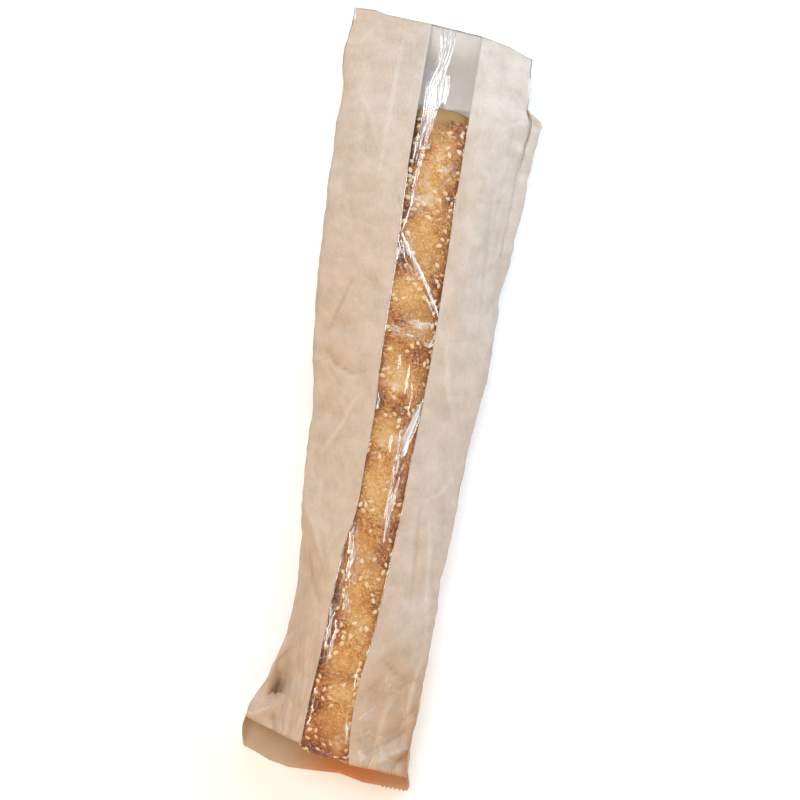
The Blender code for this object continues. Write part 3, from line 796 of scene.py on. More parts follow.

# %% [markdown]
# ### Wrinkles
# A wrinkle is a path with a width and a height. Each is drawn as a soft ridge that dies away
# at both ends. The list follows how such a window gathers: a long pleat from the sealed
# end, a crushed patch with a diagonal fold, cross wrinkles where the loaf bends, and bundles of
# lengthwise lines where the window is too wide for its paper. The lines of a bundle are finer
# than the grid, so the material paints them white along the bundle's own middle line, as painted
# highlights.

# %% Wrinkle paths: width, height, then (along, across) points
WRINKLES = [
    (0.75, 1.10, [(2, -4.4), (18, -1.6), (28, -1.4), (36, -3.6), (48, -6.6), (58, -5.8),
                  (72, -5.8), (88, -7.0), (98, -7.6)]),
    (0.60, 1.00, [(3, -0.6), (20, 0.4), (32, -0.6), (44, -4.0), (56, -4.0), (70, -4.6),
                  (84, -6.0)]),
    (0.70, 1.20, [(2, 2.6), (18, 2.4), (30, 1.2), (38, -1.4), (48, -1.0), (60, 0.6), (72, -0.4),
                  (84, -2.2), (98, -3.8), (112, -4.6), (130, -4.0)]),
    (0.55, 0.90, [(6, 5.0), (16, 4.4), (27, 3.4), (36, 1.0), (46, 0.6)]),
    (0.50, 0.80, [(40, -2.2), (52, -2.4), (64, -2.4), (78, -4.0), (94, -5.4)]),
    (0.60, 0.80, [(28, 2.4), (40, 2.0), (54, 1.8), (62, 1.6)]),
    (0.90, 1.10, [(36, 4.4), (44, 5.4), (52, 5.2), (60, 4.4)]),
    (0.55, 0.60, [(110, -3.4), (124, -4.0), (136, -5.8), (141, -7.6)]),
    (0.80, 0.90, [(144, -6.6), (149, -2.6), (157, 1.2), (166, 7.4), (176, 13.6), (186, 19.6),
                  (192, 23.0)]),
    (0.60, 0.70, [(145, -9.0), (151, -5.4), (159, -2.6)]),
    (0.60, 0.70, [(148, -8.6), (155, -6.8), (160, -7.4)]),
    (0.80, 0.70, [(150, -1.0), (157, 0.6), (161, 3.0)]),
    (0.70, 0.60, [(170, -3.8), (172, 0.0), (171, 5.0), (169, 7.4)]),
    (0.80, 0.80, [(198, 2.6), (197, 8.8), (197.6, 15.0), (195.6, 22.6)]),
    (0.70, 0.70, [(200.5, 6.4), (199.8, 12.0), (198.6, 18.0)]),
    (0.55, 0.60, [(202, -6.4), (206, -3.6), (207, 0.4), (205, 4.6), (206.6, 8.6), (206, 12.0),
                  (204, 17.4)]),
    (0.80, 0.80, [(208, 15.6), (211, 19.0), (209, 21.4), (203, 23.0)]),
    (0.70, 0.60, [(222, 9.6), (231, 10.0), (238, 9.8), (246, 9.2)]),
    (1.10, 0.90, [(246, 21.0), (254, 19.0), (262, 16.6), (268, 14.4), (275, 13.6)]),
    (0.60, 0.60, [(266, 6.0), (274, 6.6), (282, 6.0)]),
    (0.60, 0.60, [(266, 10.6), (274, 11.6), (284, 11.0)]),
    (0.60, 0.80, [(293, 15.0), (304, 14.2), (316, 13.6)]),
    (0.60, 0.80, [(304, 12.2), (314, 11.6), (324, 12.0), (336, 11.4)]),
    (0.55, 0.55, [(243, -6.0), (248, -4.4), (255, -4.8)]),
    (1.50, 1.10, [(244, 22.0), (252, 20.6), (262, 18.4), (272, 16.0), (284, 14.8)]),
    (0.55, 0.70, [(178, 10.6), (186, 16.6), (193, 21.6)]),
    (0.55, 0.60, [(285, 9.8), (296, 11.4), (308, 10.6), (322, 9.6)]),
    (0.50, 0.60, [(216, 3.0), (224, 4.2), (232, 3.2)]),
    (0.50, 0.60, [(234, 13.0), (244, 14.6), (254, 13.4)]),
    (0.50, 0.60, [(283, 3.0), (281, -2.0), (284, -6.4)]),
    (0.60, 0.60, [(436, 13.0), (444, 11.6), (452, 10.8)]),
    (0.50, 0.50, [(412, 9.4), (420, 8.2), (430, 8.8)]),
    (0.50, 0.60, [(330, -9.6), (338, -7.4), (346, -8.0)]),
    (0.50, 0.70, [(334, -6.2), (342, -5.0), (350, -6.6), (358, -7.2)]),
    (0.50, 0.60, [(344, -4.0), (352, -5.4), (361, -5.0)]),
    (0.60, 0.60, [(359, -8.4), (362, -5.0), (361.4, -1.0)]),
    (0.60, 0.80, [(367, -7.2), (373, -4.8), (380, -5.2)]),
    (0.50, 0.60, [(368, -4.6), (376, -3.4), (381, -4.6)]),
    (0.55, 0.70, [(379, -13.6), (387, -12.0), (396, -11.8), (404, -12.6)]),
    (0.60, 0.70, [(386, -8.4), (394, -7.4), (402, -8.8), (409, -8.6)]),
    (0.70, 0.80, [(449, 7.6), (455, 8.8), (460, 10.0)]),
]
CRUSHED = [                          # (along, across), size
    ((150.0, -6.0), (9.0, 6.0)), ((347.0, -7.0), (18.0, 4.0)), ((372.0, -5.0), (9.0, 4.0)),
    ((199.0, 12.0), (6.0, 12.0)), ((395.0, -10.5), (16.0, 3.0)),
]
GATHERED = [                         # width, then the middle line of each gathered bundle
    (3.1, [(-6, -0.6), (20, -0.2), (34, -2.0), (50, -3.4), (64, -3.4), (82, -5.0), (104, -6.2),
           (124, -6.4)]),
    (4.4, [(140, -8.6), (150, -5.4), (158, -1.8), (168, 4.0)]),
    (2.6, [(198, 2.0), (197, 12.0), (196, 23.0)]),
    (2.2, [(202, -7.0), (206, 4.0), (205, 18.0)]),
    (3.0, [(243, 22.0), (262, 16.6), (280, 13.6), (304, 13.0), (334, 11.4)]),
    (3.8, [(324, -9.0), (345, -6.5), (362, -6.0), (384, -4.8)]),
    (3.4, [(378, -12.6), (398, -11.4), (414, -9.4)]),
    (2.4, [(436, 10.6), (455, 9.4), (463, 10.0)]),
]
print("wrinkles:", len(WRINKLES), "gathered bundles:", len(GATHERED))

# %% [markdown]
# The ridges stack by the greatest rather than by the sum, so that crossings stay low. A fine
# crinkle covers all of the film faintly, and strongly where it was crushed.

# %% Raise the wrinkles
CRINKLE_RISE = (0.02, 0.32)          # everywhere, and where the film was crushed
SLACK_RISE = 0.25                    # the middle of the film is loose and wavy

wrinkle = np.zeros(film.shape[:2])
for width, rise, path in WRINKLES:
    wrinkle = np.maximum(wrinkle, ridge(path, width, rise, film_along, film_across))
crushed = np.zeros(film.shape[:2])
for place, size in CRUSHED:
    crushed = np.maximum(crushed, bump(film_along, film_across, place, size))
crinkle = (hills(film_across + 0.6 * film_along, film_along, 1.6, 21, 2.2)
           + 0.6 * hills(film_across - 0.4 * film_along, film_along, 1.2, 22, 1.6))
slack = hills(film_across, film_along, 9.0, 23, 3.0)
depth_out = -depth_in.astype(float)          # columns in from the paper's edge
free_edge = smooth(0.0, 3.0, depth_out)
slack = slack * smooth(0.0, 18.0, depth_out)[None, :]
film_lift = (wrinkle + mix(*CRINKLE_RISE, crushed) * crinkle) * free_edge[None, :] \
    + SLACK_RISE * (1.0 + slack) * smooth(0.0, 13.0, depth_out)[None, :]
film[..., 2] += film_lift * free * MM
print("wrinkles' top in mm:", round(float(film_lift.max()), 2))

# %% [markdown]
# The film material needs three numbers on each point: how gathered the film is, where the point
# lies in its bundle, and how far it is up the crest of a wrinkle. The bundles and crests are
# painted white as painted highlights. The crests near the sealed end get less of it, where the film
# is only drawn together and has no sharp folds.

# %% Maps of the film's creases and the film object
FILM_THICKNESS = 0.06
BUNDLE_SPACING = 100.0               # keeps each bundle's random lines its own
CREST_START, CREST_SPAN = 0.30, 0.50             # the painted highlight starts at this height, and is full this much higher
CREST_SHARE = (0.6, 1.9)             # near the sealed end, and past the zone below
CREST_ZONE = (128.0, 146.0)

gather = np.zeros(film.shape[:2])
gather_place = np.stack([film_across, film_along, 0.0 * film_across], axis=-1)
for number, (width, path) in enumerate(GATHERED):
    aside, run, _ = beside(path, film_along, film_across)
    strength = ridge(path, width, 1.0, film_along, film_across)
    in_bundle = np.stack([aside, run + BUNDLE_SPACING * number, 0.0 * run], axis=-1)
    gather_place = np.where((strength > gather)[..., None], in_bundle, gather_place)
    gather = np.maximum(gather, strength)
crest = np.clip((wrinkle - CREST_START) / CREST_SPAN, 0.0, 1.0) \
    * mix(*CREST_SHARE, smooth(*CREST_ZONE, film_along))
window = make_piece("window_film", film, grid_faces(*film.shape[:2]),
                    {"gather_place": gather_place, "gather": gather * free_edge[None, :],
                     "crest": crest * free_edge[None, :]})
thicken(window, FILM_THICKNESS)
print("film quads before thickness:", len(window.data.polygons))

# %% [markdown]
# ## The loaf
# The crust is a skin that set in the oven while the dough under it still grew. It tears
# open at the baker's cuts: a cut bakes pale and fairly smooth, and the skin at its edge stands
# up as a darker ridge. The loaf is a fine grid wrapped round the smooth outline, pushed in at
# the cuts and roughened by hills of several sizes.

# %% The baker's cuts
CUT_COUNT = 11
CUT_TURN = 32.0                      # degrees away from the length of the loaf
CUT_HALF_LENGTH = 21.0
CUT_HALF_WIDTH = 10.5
rng = np.random.default_rng(5)
pitch = (LOAF_END - LOAF_START) / CUT_COUNT
CUTS = [(LOAF_START + pitch * (i + 0.5) + rng.uniform(-3, 3), rng.uniform(-2.5, 2.5),
         math.radians(CUT_TURN + rng.uniform(-7, 7)), rng.uniform(0.85, 1.12))
        for i in range(CUT_COUNT)]


def cut_reach(along, side):
    """How far a crust point is from the nearest cut: 0 in its middle, 1 at its edge."""
    reach = np.full(np.shape(along), 9.0)
    for place, offset, turn, size in CUTS:
        run, off = along - place, side - offset
        lengthwise = run * math.cos(turn) + off * math.sin(turn)
        widthwise = off * math.cos(turn) - run * math.sin(turn)
        one = np.hypot(lengthwise / (CUT_HALF_LENGTH * size), widthwise / (CUT_HALF_WIDTH * size))
        reach = np.minimum(reach, one)
    return reach


print("cuts:", len(CUTS), "pitch in mm:", round(pitch, 1))

# %% Wrap the grid round the loaf
LOAF_ROWS = 400
LOAF_AROUND = 168
END_CROWDING = 0.35                  # rows stand closer together at the two ends
SMALLEST_GIRTH = 0.004
LOAF_GIRTH = 180.0                   # round the crust
TOP_RADIUS = 29.0                    # of the crust's upper half

row_share = np.linspace(0.0, 1.0, LOAF_ROWS)
row_share = mix(row_share, 0.5 - 0.5 * np.cos(math.pi * row_share), END_CROWDING)
loaf_along = mix(LOAF_START, LOAF_END, row_share)[:, None]
angle = (np.arange(LOAF_AROUND) / LOAF_AROUND * math.tau)[None, :]
girth = np.maximum(loaf_girth(loaf_along), SMALLEST_GIRTH)
half_width = body_half_width(loaf_along)
round_x = half_width * girth * np.cos(angle)
round_z = LOAF_HALF_HEIGHT * girth * np.sin(angle)
surface_side = angle / math.tau * LOAF_GIRTH
top_side = (math.pi / 2 - angle) * TOP_RADIUS
print("crust rows:", LOAF_ROWS, "points round each:", LOAF_AROUND)

# %% Open the cuts and roughen the crust
CUT_DEPTH = 2.2
EAR_REACH, EAR_WIDTH, EAR_RISE = 1.12, 0.13, 0.35    # the ridge just outside a cut
CRUST_SHRINK = 0.35                  # keeps the roughened crust inside its smooth outline

reach = cut_reach(loaf_along, top_side)
wobble = 0.16 * hills(surface_side, loaf_along, 6.0, 31) \
    + 0.10 * hills(surface_side, loaf_along, 3.0, 32)
open_cut = 1.0 - smooth(0.45, 1.15, reach + wobble)
ear = np.exp(-(((reach + wobble) - EAR_REACH) / EAR_WIDTH) ** 2)
upper = smooth(-0.1, 0.5, np.sin(angle))
hollow = CUT_DEPTH * open_cut * (1.0 - 0.45 * np.clip(reach, 0, 1) ** 2)
push = (EAR_RISE * ear - hollow) * upper
push = push + 0.28 * hills(surface_side, loaf_along, 14.0, 33) \
    + 0.22 * hills(surface_side, loaf_along, 5.0, 34) \
    + 0.16 * hills(surface_side, loaf_along, 2.4, 35) * (1.0 - 0.5 * open_cut) - CRUST_SHRINK
fade = np.clip(girth * 1.2, 0.0, 1.0)
scale = 1.0 + push * fade / LOAF_HALF_WIDTH
crust_across = loaf_centre(loaf_along) + round_x * scale
crust_height = LOAF_MIDDLE + round_z * scale
crust_height = np.maximum(crust_height, LOAF_BASE)
crust_along = np.broadcast_to(loaf_along, crust_across.shape)
crust = in_frame(crust_across, crust_along, crust_height - LAYER_UP)
print("crust grid:", crust.shape[:2])

# %% [markdown]
# The oven browns what stands proud and what it reaches first: ridges, the shoulders beside the
# cuts and the end at the mouth. That end is also painted darker as painted shade where it turns
# down, and the left side is painted darker as painted shade. The cap at the other end is painted a
# paler tan. Flour from the proving cloth stays in patches. The maps of baking, cuts, cap and flour
# go to the material as numbers on the points.

# %% Spots that baked darker or lighter, and patches of flour
FLOUR = [                            # (along, across), size
    ((102.0, 12.0), (12.0, 7.0)), ((120.0, -2.0), (10.0, 5.0)), ((112.0, 5.0), (12.0, 4.0)),
    ((200.0, 14.0), (4.0, 10.0)), ((236.0, 2.0), (8.0, 7.0)), ((272.0, 12.0), (14.0, 8.0)),
    ((350.0, 4.0), (6.0, 6.0)), ((460.0, 6.0), (5.0, 6.0)),
]
BROWNED = [                          # (along, across), size, strength
    ((68.0, 4.0), (7.0, 26.0), 0.20), ((79.0, 5.0), (12.0, 22.0), 0.30),
    ((96.0, -9.0), (26.0, 5.0), 0.28), ((128.0, -7.0), (7.0, 7.0), 0.30),
    ((118.0, 17.0), (8.0, 7.0), 0.26), ((157.0, -7.0), (8.0, 9.0), 0.34),
    ((178.0, 19.0), (18.0, 7.0), 0.30), ((193.0, 2.0), (5.0, 11.0), 0.22),
    ((218.0, -8.0), (11.0, 6.0), 0.26), ((216.0, 16.0), (8.0, 8.0), 0.16),
    ((252.0, -6.0), (8.0, 6.0), 0.36), ((254.0, 9.0), (9.0, 6.0), 0.30),
    ((284.0, -7.0), (9.0, 6.0), 0.24), ((287.0, 16.0), (14.0, 5.0), 0.18),
    ((325.0, -10.0), (20.0, 5.0), 0.28), ((346.0, 10.0), (7.0, 9.0), 0.20),
    ((318.0, 16.0), (20.0, 4.0), 0.22), ((376.0, -11.0), (14.0, 5.0), 0.30),
    ((375.0, 6.0), (4.0, 10.0), 0.20), ((421.0, 2.0), (4.5, 12.0), 0.28),
    ((404.0, -12.0), (22.0, 4.5), 0.22), ((440.0, -8.0), (7.0, 9.0), 0.20),
    ((452.0, 0.0), (6.0, 9.0), 0.22),
]
GOLDEN = [
    ((96.0, 6.0), (16.0, 7.0), 0.20), ((132.0, 7.0), (16.0, 8.0), 0.16),
    ((178.0, 2.0), (8.0, 7.0), 0.22), ((236.0, 4.0), (12.0, 5.0), 0.20),
    ((272.0, 4.0), (12.0, 8.0), 0.18), ((312.0, 3.0), (16.0, 8.0), 0.20),
    ((362.0, 4.0), (10.0, 8.0), 0.12), ((398.0, 4.0), (14.0, 8.0), 0.24),
    ((431.0, 3.0), (6.0, 8.0), 0.26),
]
print("browned spots:", len(BROWNED), "golden spots:", len(GOLDEN), "floured:", len(FLOUR))

# %% Maps of baking, cuts, cap and flour
BROWNING, GILDING = 1.2, -1.2        # how much a spot of strength 1 changes the baking
CAP_LENGTH, CAP_EDGE = 11.0, 1.5     # the cap's edge is soft and wavers

# darker toward the mouth end: browner bake and painted shade where the end turns down
end_bake_and_shade = 1.0 - smooth(2.0, 24.0, LOAF_END - loaf_along)
shoulder = smooth(16.0, 32.0, np.abs(top_side))
# the left side painted darker as painted shade
left_side_shade = smooth(6.0, 20.0, -top_side)
blotch = 0.6 * hills(surface_side, loaf_along, 9.0, 36) \
    + 0.4 * hills(surface_side, loaf_along, 4.0, 39)
bake = (0.40 + 0.06 * ear + 0.20 * blotch + 0.12 * shoulder + 0.12 * left_side_shade
        + 0.38 * end_bake_and_shade - 0.10 * open_cut) * np.ones_like(reach)
for effect, spots in ((BROWNING, BROWNED), (GILDING, GOLDEN)):
    for place, size, strength in spots:
        bake = bake + effect * strength * bump(crust_along, crust_across, place, size)
from_end = loaf_along - LOAF_START + 1.2 * hills(surface_side, loaf_along, 3.0, 40)
cap = 1.0 - smooth(CAP_LENGTH - CAP_EDGE, CAP_LENGTH + CAP_EDGE, from_end)
cap = cap * np.ones_like(reach)
flour = np.zeros_like(reach)
for place, size in FLOUR:
    flour = np.maximum(flour, bump(crust_along, crust_across, place, size))
wisps = hills(surface_side, loaf_along, 5.0, 37) + 0.7 * hills(surface_side, loaf_along, 2.2, 38)
flour = flour * smooth(-0.30, 0.70, wisps)

loaf_faces = grid_faces(LOAF_ROWS, LOAF_AROUND, wrap=True)
first_ring = list(range(LOAF_AROUND))
last_ring = list(range((LOAF_ROWS - 1) * LOAF_AROUND, LOAF_ROWS * LOAF_AROUND))
loaf = make_piece("crusty_loaf", crust, loaf_faces.tolist() + [first_ring[::-1], last_ring],
                  {"bake": bake, "open_cut": open_cut * upper, "flour": flour, "cap": cap})
print("crust quads:", len(loaf_faces))

# %% [markdown]
# ## Sesame seeds
# A sesame seed is a flat teardrop about 4 mm long. One seed is a small ball whose rings are
# squeezed toward the point. Copies are laid on the crust, each turned its own way and sunk by
# a third, thickest on the uncut skin, since a cut opens after the seeds are on. They could be
# scattered by geometry nodes, but a short loop keeps them clear of each other.

# %% One seed
SEED_LENGTH, SEED_WIDTH, SEED_HEIGHT = 4.0, 2.5, 1.2
SEED_RINGS = 6
SEED_SIDES = 8
SEED_LEAN, SEED_FULLNESS = 1.25, 0.75            # moves the belly to one end, and rounds it

ring = np.linspace(0.0, 1.0, SEED_RINGS + 1)[1:-1]
turn = np.arange(SEED_SIDES) / SEED_SIDES * math.tau
fullness = np.sin(math.pi * ring ** SEED_LEAN) ** SEED_FULLNESS
seed_points = np.concatenate([
    [[-0.5, 0.0, 0.0]],
    np.stack([np.repeat(ring - 0.5, SEED_SIDES),
              (fullness[:, None] * np.cos(turn) * 0.5).ravel(),
              (fullness[:, None] * np.sin(turn) * 0.5).ravel()], axis=-1),
    [[0.5, 0.0, 0.0]]]) * [SEED_LENGTH, SEED_WIDTH, SEED_HEIGHT] * MM
band = grid_faces(SEED_RINGS - 1, SEED_SIDES, wrap=True) + 1
tip = len(seed_points) - 1
seed_faces = [face[::-1] for face in band.tolist()]
for side in range(SEED_SIDES):
    after = (side + 1) % SEED_SIDES
    seed_faces.append([0, 1 + side, 1 + after])
    seed_faces.append([tip, tip - SEED_SIDES + after, tip - SEED_SIDES + side])
print("faces in a seed:", len(seed_faces))

# %% Choose the seeds' places
SEED_COUNT = 640
SEED_SPACING = 2.6                   # between the middles of two seeds

crust_normals = grid_normals(crust)
from_axis = crust - np.mean(crust, axis=1, keepdims=True)
outside = np.sign(np.sum(crust_normals * from_axis, axis=-1))
crust_normals = crust_normals * outside[..., None]
cluster = 0.35 + 0.65 * smooth(-0.3, 0.6, hills(surface_side, loaf_along, 9.0, 41))
chance = (1.0 - 0.86 * open_cut) * cluster * smooth(-0.15, 0.45, np.sin(angle))
chance = chance * (half_width * girth)
chance = chance * smooth(0.25, 0.8, girth) * smooth(10.0, 13.0, loaf_along - LOAF_START)
chance = (chance * np.ones_like(reach)).ravel()
rng = np.random.default_rng(42)
chosen = rng.choice(chance.size, SEED_COUNT * 2, replace=False, p=chance / chance.sum())
places, facing = crust.reshape(-1, 3)[chosen], crust_normals.reshape(-1, 3)[chosen]
kept = []
for number, place in enumerate(places):
    if all(np.linalg.norm(place - places[other]) > SEED_SPACING * MM for other in kept):
        kept.append(number)
    if len(kept) == SEED_COUNT:
        break
print("seeds with room to lie:", len(kept))

# %% Lay the seeds
SEED_LIFT = 0.2                      # of its middle, so that a third of its height is sunk
SEED_TILT = 0.18
SEED_SIZES = (0.82, 1.12)

seed_cloud, seed_toast, all_faces = [], [], []
for number in kept:
    normal = Vector(facing[number]).normalized()
    heading = normal.orthogonal().normalized()
    heading.rotate(Matrix.Rotation(rng.uniform(0.0, math.tau), 3, normal))
    leaning = Vector(normal) + heading * float(rng.uniform(-SEED_TILT, SEED_TILT))
    leaning.normalize()
    heading = (heading - leaning * heading.dot(leaning)).normalized()
    size = float(rng.uniform(*SEED_SIZES))
    basis = np.array([heading, leaning.cross(heading), leaning])
    middle = places[number] + np.array(normal) * SEED_LIFT * MM
    first = len(seed_cloud) * len(seed_points)
    all_faces += [[corner + first for corner in face] for face in seed_faces]
    seed_cloud.append(seed_points * size @ basis + middle)
    seed_toast.append(np.full(len(seed_points), rng.uniform(0.0, 1.0)))
seeds = make_piece("sesame_seeds", np.concatenate(seed_cloud), all_faces,
                   {"toast": np.concatenate(seed_toast)})
print("seeds laid:", len(kept))

# %% [markdown]
# ## Materials
# Each material starts from the real surface. One function turns an sRGB hex colour to the
# linear numbers that Blender's shaders use, and one adds a node with its settings and links.

# %% Helpers for materials
def paint(code):
    """An sRGB hex colour as linear RGBA."""
    parts = [int(code[i:i + 2], 16) / 255 for i in (1, 3, 5)]
    return (*[p / 12.92 if p <= 0.04045 else ((p + 0.055) / 1.055) ** 2.4 for p in parts], 1.0)


def add_node(tree, kind, links=None, values=None, stops=None, **options):
    """Add a node: options set its menus, values its sockets, links join outputs to sockets."""
    node = tree.nodes.new(kind)
    for name, value in options.items():
        setattr(node, name, value)
    for name, value in (values or {}).items():
        node.inputs[name].default_value = value
    for name, output in (links or {}).items():
        tree.links.new(output, node.inputs[name])
    if stops:
        ramp = node.color_ramp
        while len(ramp.elements) < len(stops):
            ramp.elements.new(0.5)
        for element, (place, colour) in zip(ramp.elements, stops):
            element.position = place
            element.color = colour
    return node


def new_material(name):
    """An empty material and its node tree."""
    material = bpy.data.materials.new(name)
    material.use_nodes = True
    material.node_tree.nodes.clear()
    return material, material.node_tree


MIX_A, MIX_B, MIX_OUT = 6, 7, 2      # the colour sockets of Blender's Mix node
print("mid grey in linear light:", round(paint("#808080")[0], 3))

# %% [markdown]
# ### Kraft paper
# Unbleached machine-glazed kraft: long brown fibres laid along the web, pressed smooth on one
# side. To the eye it is matt and warm, with fine lengthwise streaks, small dark and light
# flecks and a soft cloudiness. Fibres are about 3 mm long and 0.03 mm thick. The streaks here
# are 0.35 mm apart, as coarse as they need to be to show. All patterns lie on the flat sheet,
# in millimetres, so that they bend with the paper.

# %% Colour of the kraft paper
STREAK_SPACING, STREAK_LENGTH = 0.35, 7.0
CLOUD_SIZE, FLECK_SIZE = 14.0, 1.1
FLECK_SHOW = 0.42                    # how much of their darkness the flecks keep

kraft, tree = new_material("machine_glazed_kraft")
place = add_node(tree, "ShaderNodeAttribute", attribute_name="flat_place")
along_web = add_node(tree, "ShaderNodeMapping", {"Vector": place.outputs["Vector"]},
                     {"Scale": (1.0 / STREAK_SPACING, 1.0 / STREAK_LENGTH, 1.0)})
streaks = add_node(tree, "ShaderNodeTexNoise", {"Vector": along_web.outputs[0]},
                   {"Scale": 1.0, "Detail": 3.0, "Roughness": 0.6}, noise_dimensions="2D")
cloudy = add_node(tree, "ShaderNodeTexNoise", {"Vector": place.outputs["Vector"]},
                  {"Scale": 1.0 / CLOUD_SIZE, "Detail": 5.0, "Roughness": 0.6},
                  noise_dimensions="2D")
flecks = add_node(tree, "ShaderNodeTexNoise", {"Vector": place.outputs["Vector"]},
                  {"Scale": 1.0 / FLECK_SIZE, "Detail": 2.0, "Roughness": 0.7},
                  noise_dimensions="2D")
tone = add_node(tree, "ShaderNodeValToRGB", {"Fac": cloudy.outputs["Fac"]},
                stops=[(0.30, paint("#AB937C")), (0.70, paint("#CFBAA8"))])
streaked = add_node(tree, "ShaderNodeMix", {"Factor": streaks.outputs["Fac"],
                                            MIX_A: tone.outputs["Color"]},
                    {MIX_B: paint("#D5C1AF")}, data_type="RGBA")
dark_flecks = add_node(tree, "ShaderNodeValToRGB", {"Fac": flecks.outputs["Fac"]},
                       stops=[(0.26, paint("#C2A486")), (0.36, paint("#FFFFFF"))])
flecked = add_node(tree, "ShaderNodeMix", {MIX_A: streaked.outputs[MIX_OUT],
                                           MIX_B: dark_flecks.outputs["Color"]},
                   {"Factor": FLECK_SHOW}, data_type="RGBA", blend_type="MULTIPLY")
print("nodes for the colour:", len(tree.nodes))

# %% [markdown]
# Crumpled paper keeps a net of small creases between flat facets. A raised crease is painted as a
# paler line, partly the glaze cracked along it and partly painted highlight, and a pressed one is
# painted darker as painted shade. The net is the borders of a Voronoi pattern, bent by a noise so
# that no line is straight. Cutting it into the mesh would take many times more faces. It shows only
# in some places, and most where the paper is limp. Where the map of painted shade says so, the
# paper is painted darker and warmer.

# %% Creases, painted light and painted shade
FACET_SIZE = 24.0
NET_WARP, NET_WARP_SIZE = 16.0, 20.0             # how far the net is bent, over what distance
CREASE_SHOW = 0.55                   # how strongly a crease line differs from the paper beside it

# the map of painted shade
painted_shade = add_node(tree, "ShaderNodeAttribute", attribute_name="painted_shade")
loose = add_node(tree, "ShaderNodeAttribute", attribute_name="loose")
painted_crease_lines = add_node(tree, "ShaderNodeAttribute", attribute_name="painted_crease_lines")
warp = add_node(tree, "ShaderNodeTexNoise", {"Vector": place.outputs["Vector"]},
                {"Scale": 1.0 / NET_WARP_SIZE, "Detail": 2.0}, noise_dimensions="2D")
warped = add_node(tree, "ShaderNodeVectorMath",
                  {0: warp.outputs["Color"], 2: place.outputs["Vector"]},
                  {1: (NET_WARP, NET_WARP, 0.0)}, operation="MULTIPLY_ADD")
net = add_node(tree, "ShaderNodeTexVoronoi", {"Vector": warped.outputs[0]},
               {"Scale": 1.0 / FACET_SIZE}, voronoi_dimensions="2D", feature="DISTANCE_TO_EDGE")
net_line = add_node(tree, "ShaderNodeMapRange", {"Value": net.outputs["Distance"]},
                    {"From Max": 0.035, "To Min": 1.0, "To Max": 0.0})
some = add_node(tree, "ShaderNodeMapRange", {"Value": cloudy.outputs["Fac"]},
                {"From Min": 0.46, "From Max": 0.62})
net_here = add_node(tree, "ShaderNodeMath", {0: net_line.outputs[0], 1: some.outputs[0]},
                    operation="MULTIPLY")
net_shown = add_node(tree, "ShaderNodeMath", {0: net_here.outputs[0], 1: loose.outputs["Fac"]},
                     operation="MULTIPLY")
raised = add_node(tree, "ShaderNodeMath", {0: painted_crease_lines.outputs["Fac"], 1: net_shown.outputs[0]},
                  operation="ADD")
# raised creases painted paler: partly cracked glaze, partly painted highlight
light_line = add_node(tree, "ShaderNodeMapRange", {"Value": raised.outputs[0]},
                      {"From Min": 0.15, "To Max": CREASE_SHOW})
# pressed creases painted darker as painted shade
dark_line = add_node(tree, "ShaderNodeMapRange", {"Value": painted_crease_lines.outputs["Fac"]},
                     {"From Min": -0.15, "From Max": -1.0, "To Max": CREASE_SHOW})
# painted shade: the paper is multiplied darker and warmer
shade_darkened = add_node(tree, "ShaderNodeMix", {"Factor": painted_shade.outputs["Fac"],
                                          MIX_A: flecked.outputs[MIX_OUT]},
                  {MIX_B: paint("#F4E4D1")}, data_type="RGBA", blend_type="MULTIPLY")
glaze_cracks_and_highlights = add_node(tree, "ShaderNodeMix", {"Factor": light_line.outputs[0],
                                        MIX_A: shade_darkened.outputs[MIX_OUT]},
                {MIX_B: paint("#EADFD2")}, data_type="RGBA")
# the darker crease lines: painted shade
shaded = add_node(tree, "ShaderNodeMix", {"Factor": dark_line.outputs[0],
                                          MIX_A: glaze_cracks_and_highlights.outputs[MIX_OUT]},
                  {MIX_B: paint("#93785C")}, data_type="RGBA")
print("nodes with the creases:", len(tree.nodes))

# %% [markdown]
# Three reliefs make the surface: the facets between the creases, the grain of streaks and
# flecks, and faint lengthwise ribs beside the window, 3.6 mm apart, where the glue rollers
# pressed. A glazed sheet is smoother than plain paper, and still has only a weak gloss.

# %% Relief and shader of the kraft paper
GLUE_RIB_PITCH = 3.6
RIB_RISE = 0.9                       # of a rib, against the grain's
FACET_DEPTH, GRAIN_DEPTH, GRAIN_STRENGTH = 0.9, 0.07, 0.7
PAPER_ROUGHNESS = 0.62

edge = add_node(tree, "ShaderNodeAttribute", attribute_name="from_window")
facets = add_node(tree, "ShaderNodeMapRange", {"Value": net.outputs["Distance"]},
                  {"From Max": 0.22})
facet_skin = add_node(tree, "ShaderNodeBump", {"Height": facets.outputs[0],
                                               "Strength": loose.outputs["Fac"]},
                      {"Distance": FACET_DEPTH * MM})
ribs = add_node(tree, "ShaderNodeMath", {0: edge.outputs["Fac"]},
                {1: math.tau / GLUE_RIB_PITCH}, operation="MULTIPLY")
rib_wave = add_node(tree, "ShaderNodeMath", {0: ribs.outputs[0]}, operation="SINE")
rib_zone = add_node(tree, "ShaderNodeMapRange", {"Value": edge.outputs["Fac"]},
                    {"From Min": 9.0, "From Max": 14.0, "To Min": 1.0, "To Max": 0.0})
rib_height = add_node(tree, "ShaderNodeMath", {0: rib_wave.outputs[0], 1: rib_zone.outputs[0]},
                      operation="MULTIPLY")
grain = add_node(tree, "ShaderNodeMath", {0: streaks.outputs["Fac"], 1: flecks.outputs["Fac"]},
                 operation="ADD")
relief = add_node(tree, "ShaderNodeMath", {0: rib_height.outputs[0], 2: grain.outputs[0]},
                  {1: RIB_RISE}, operation="MULTIPLY_ADD")
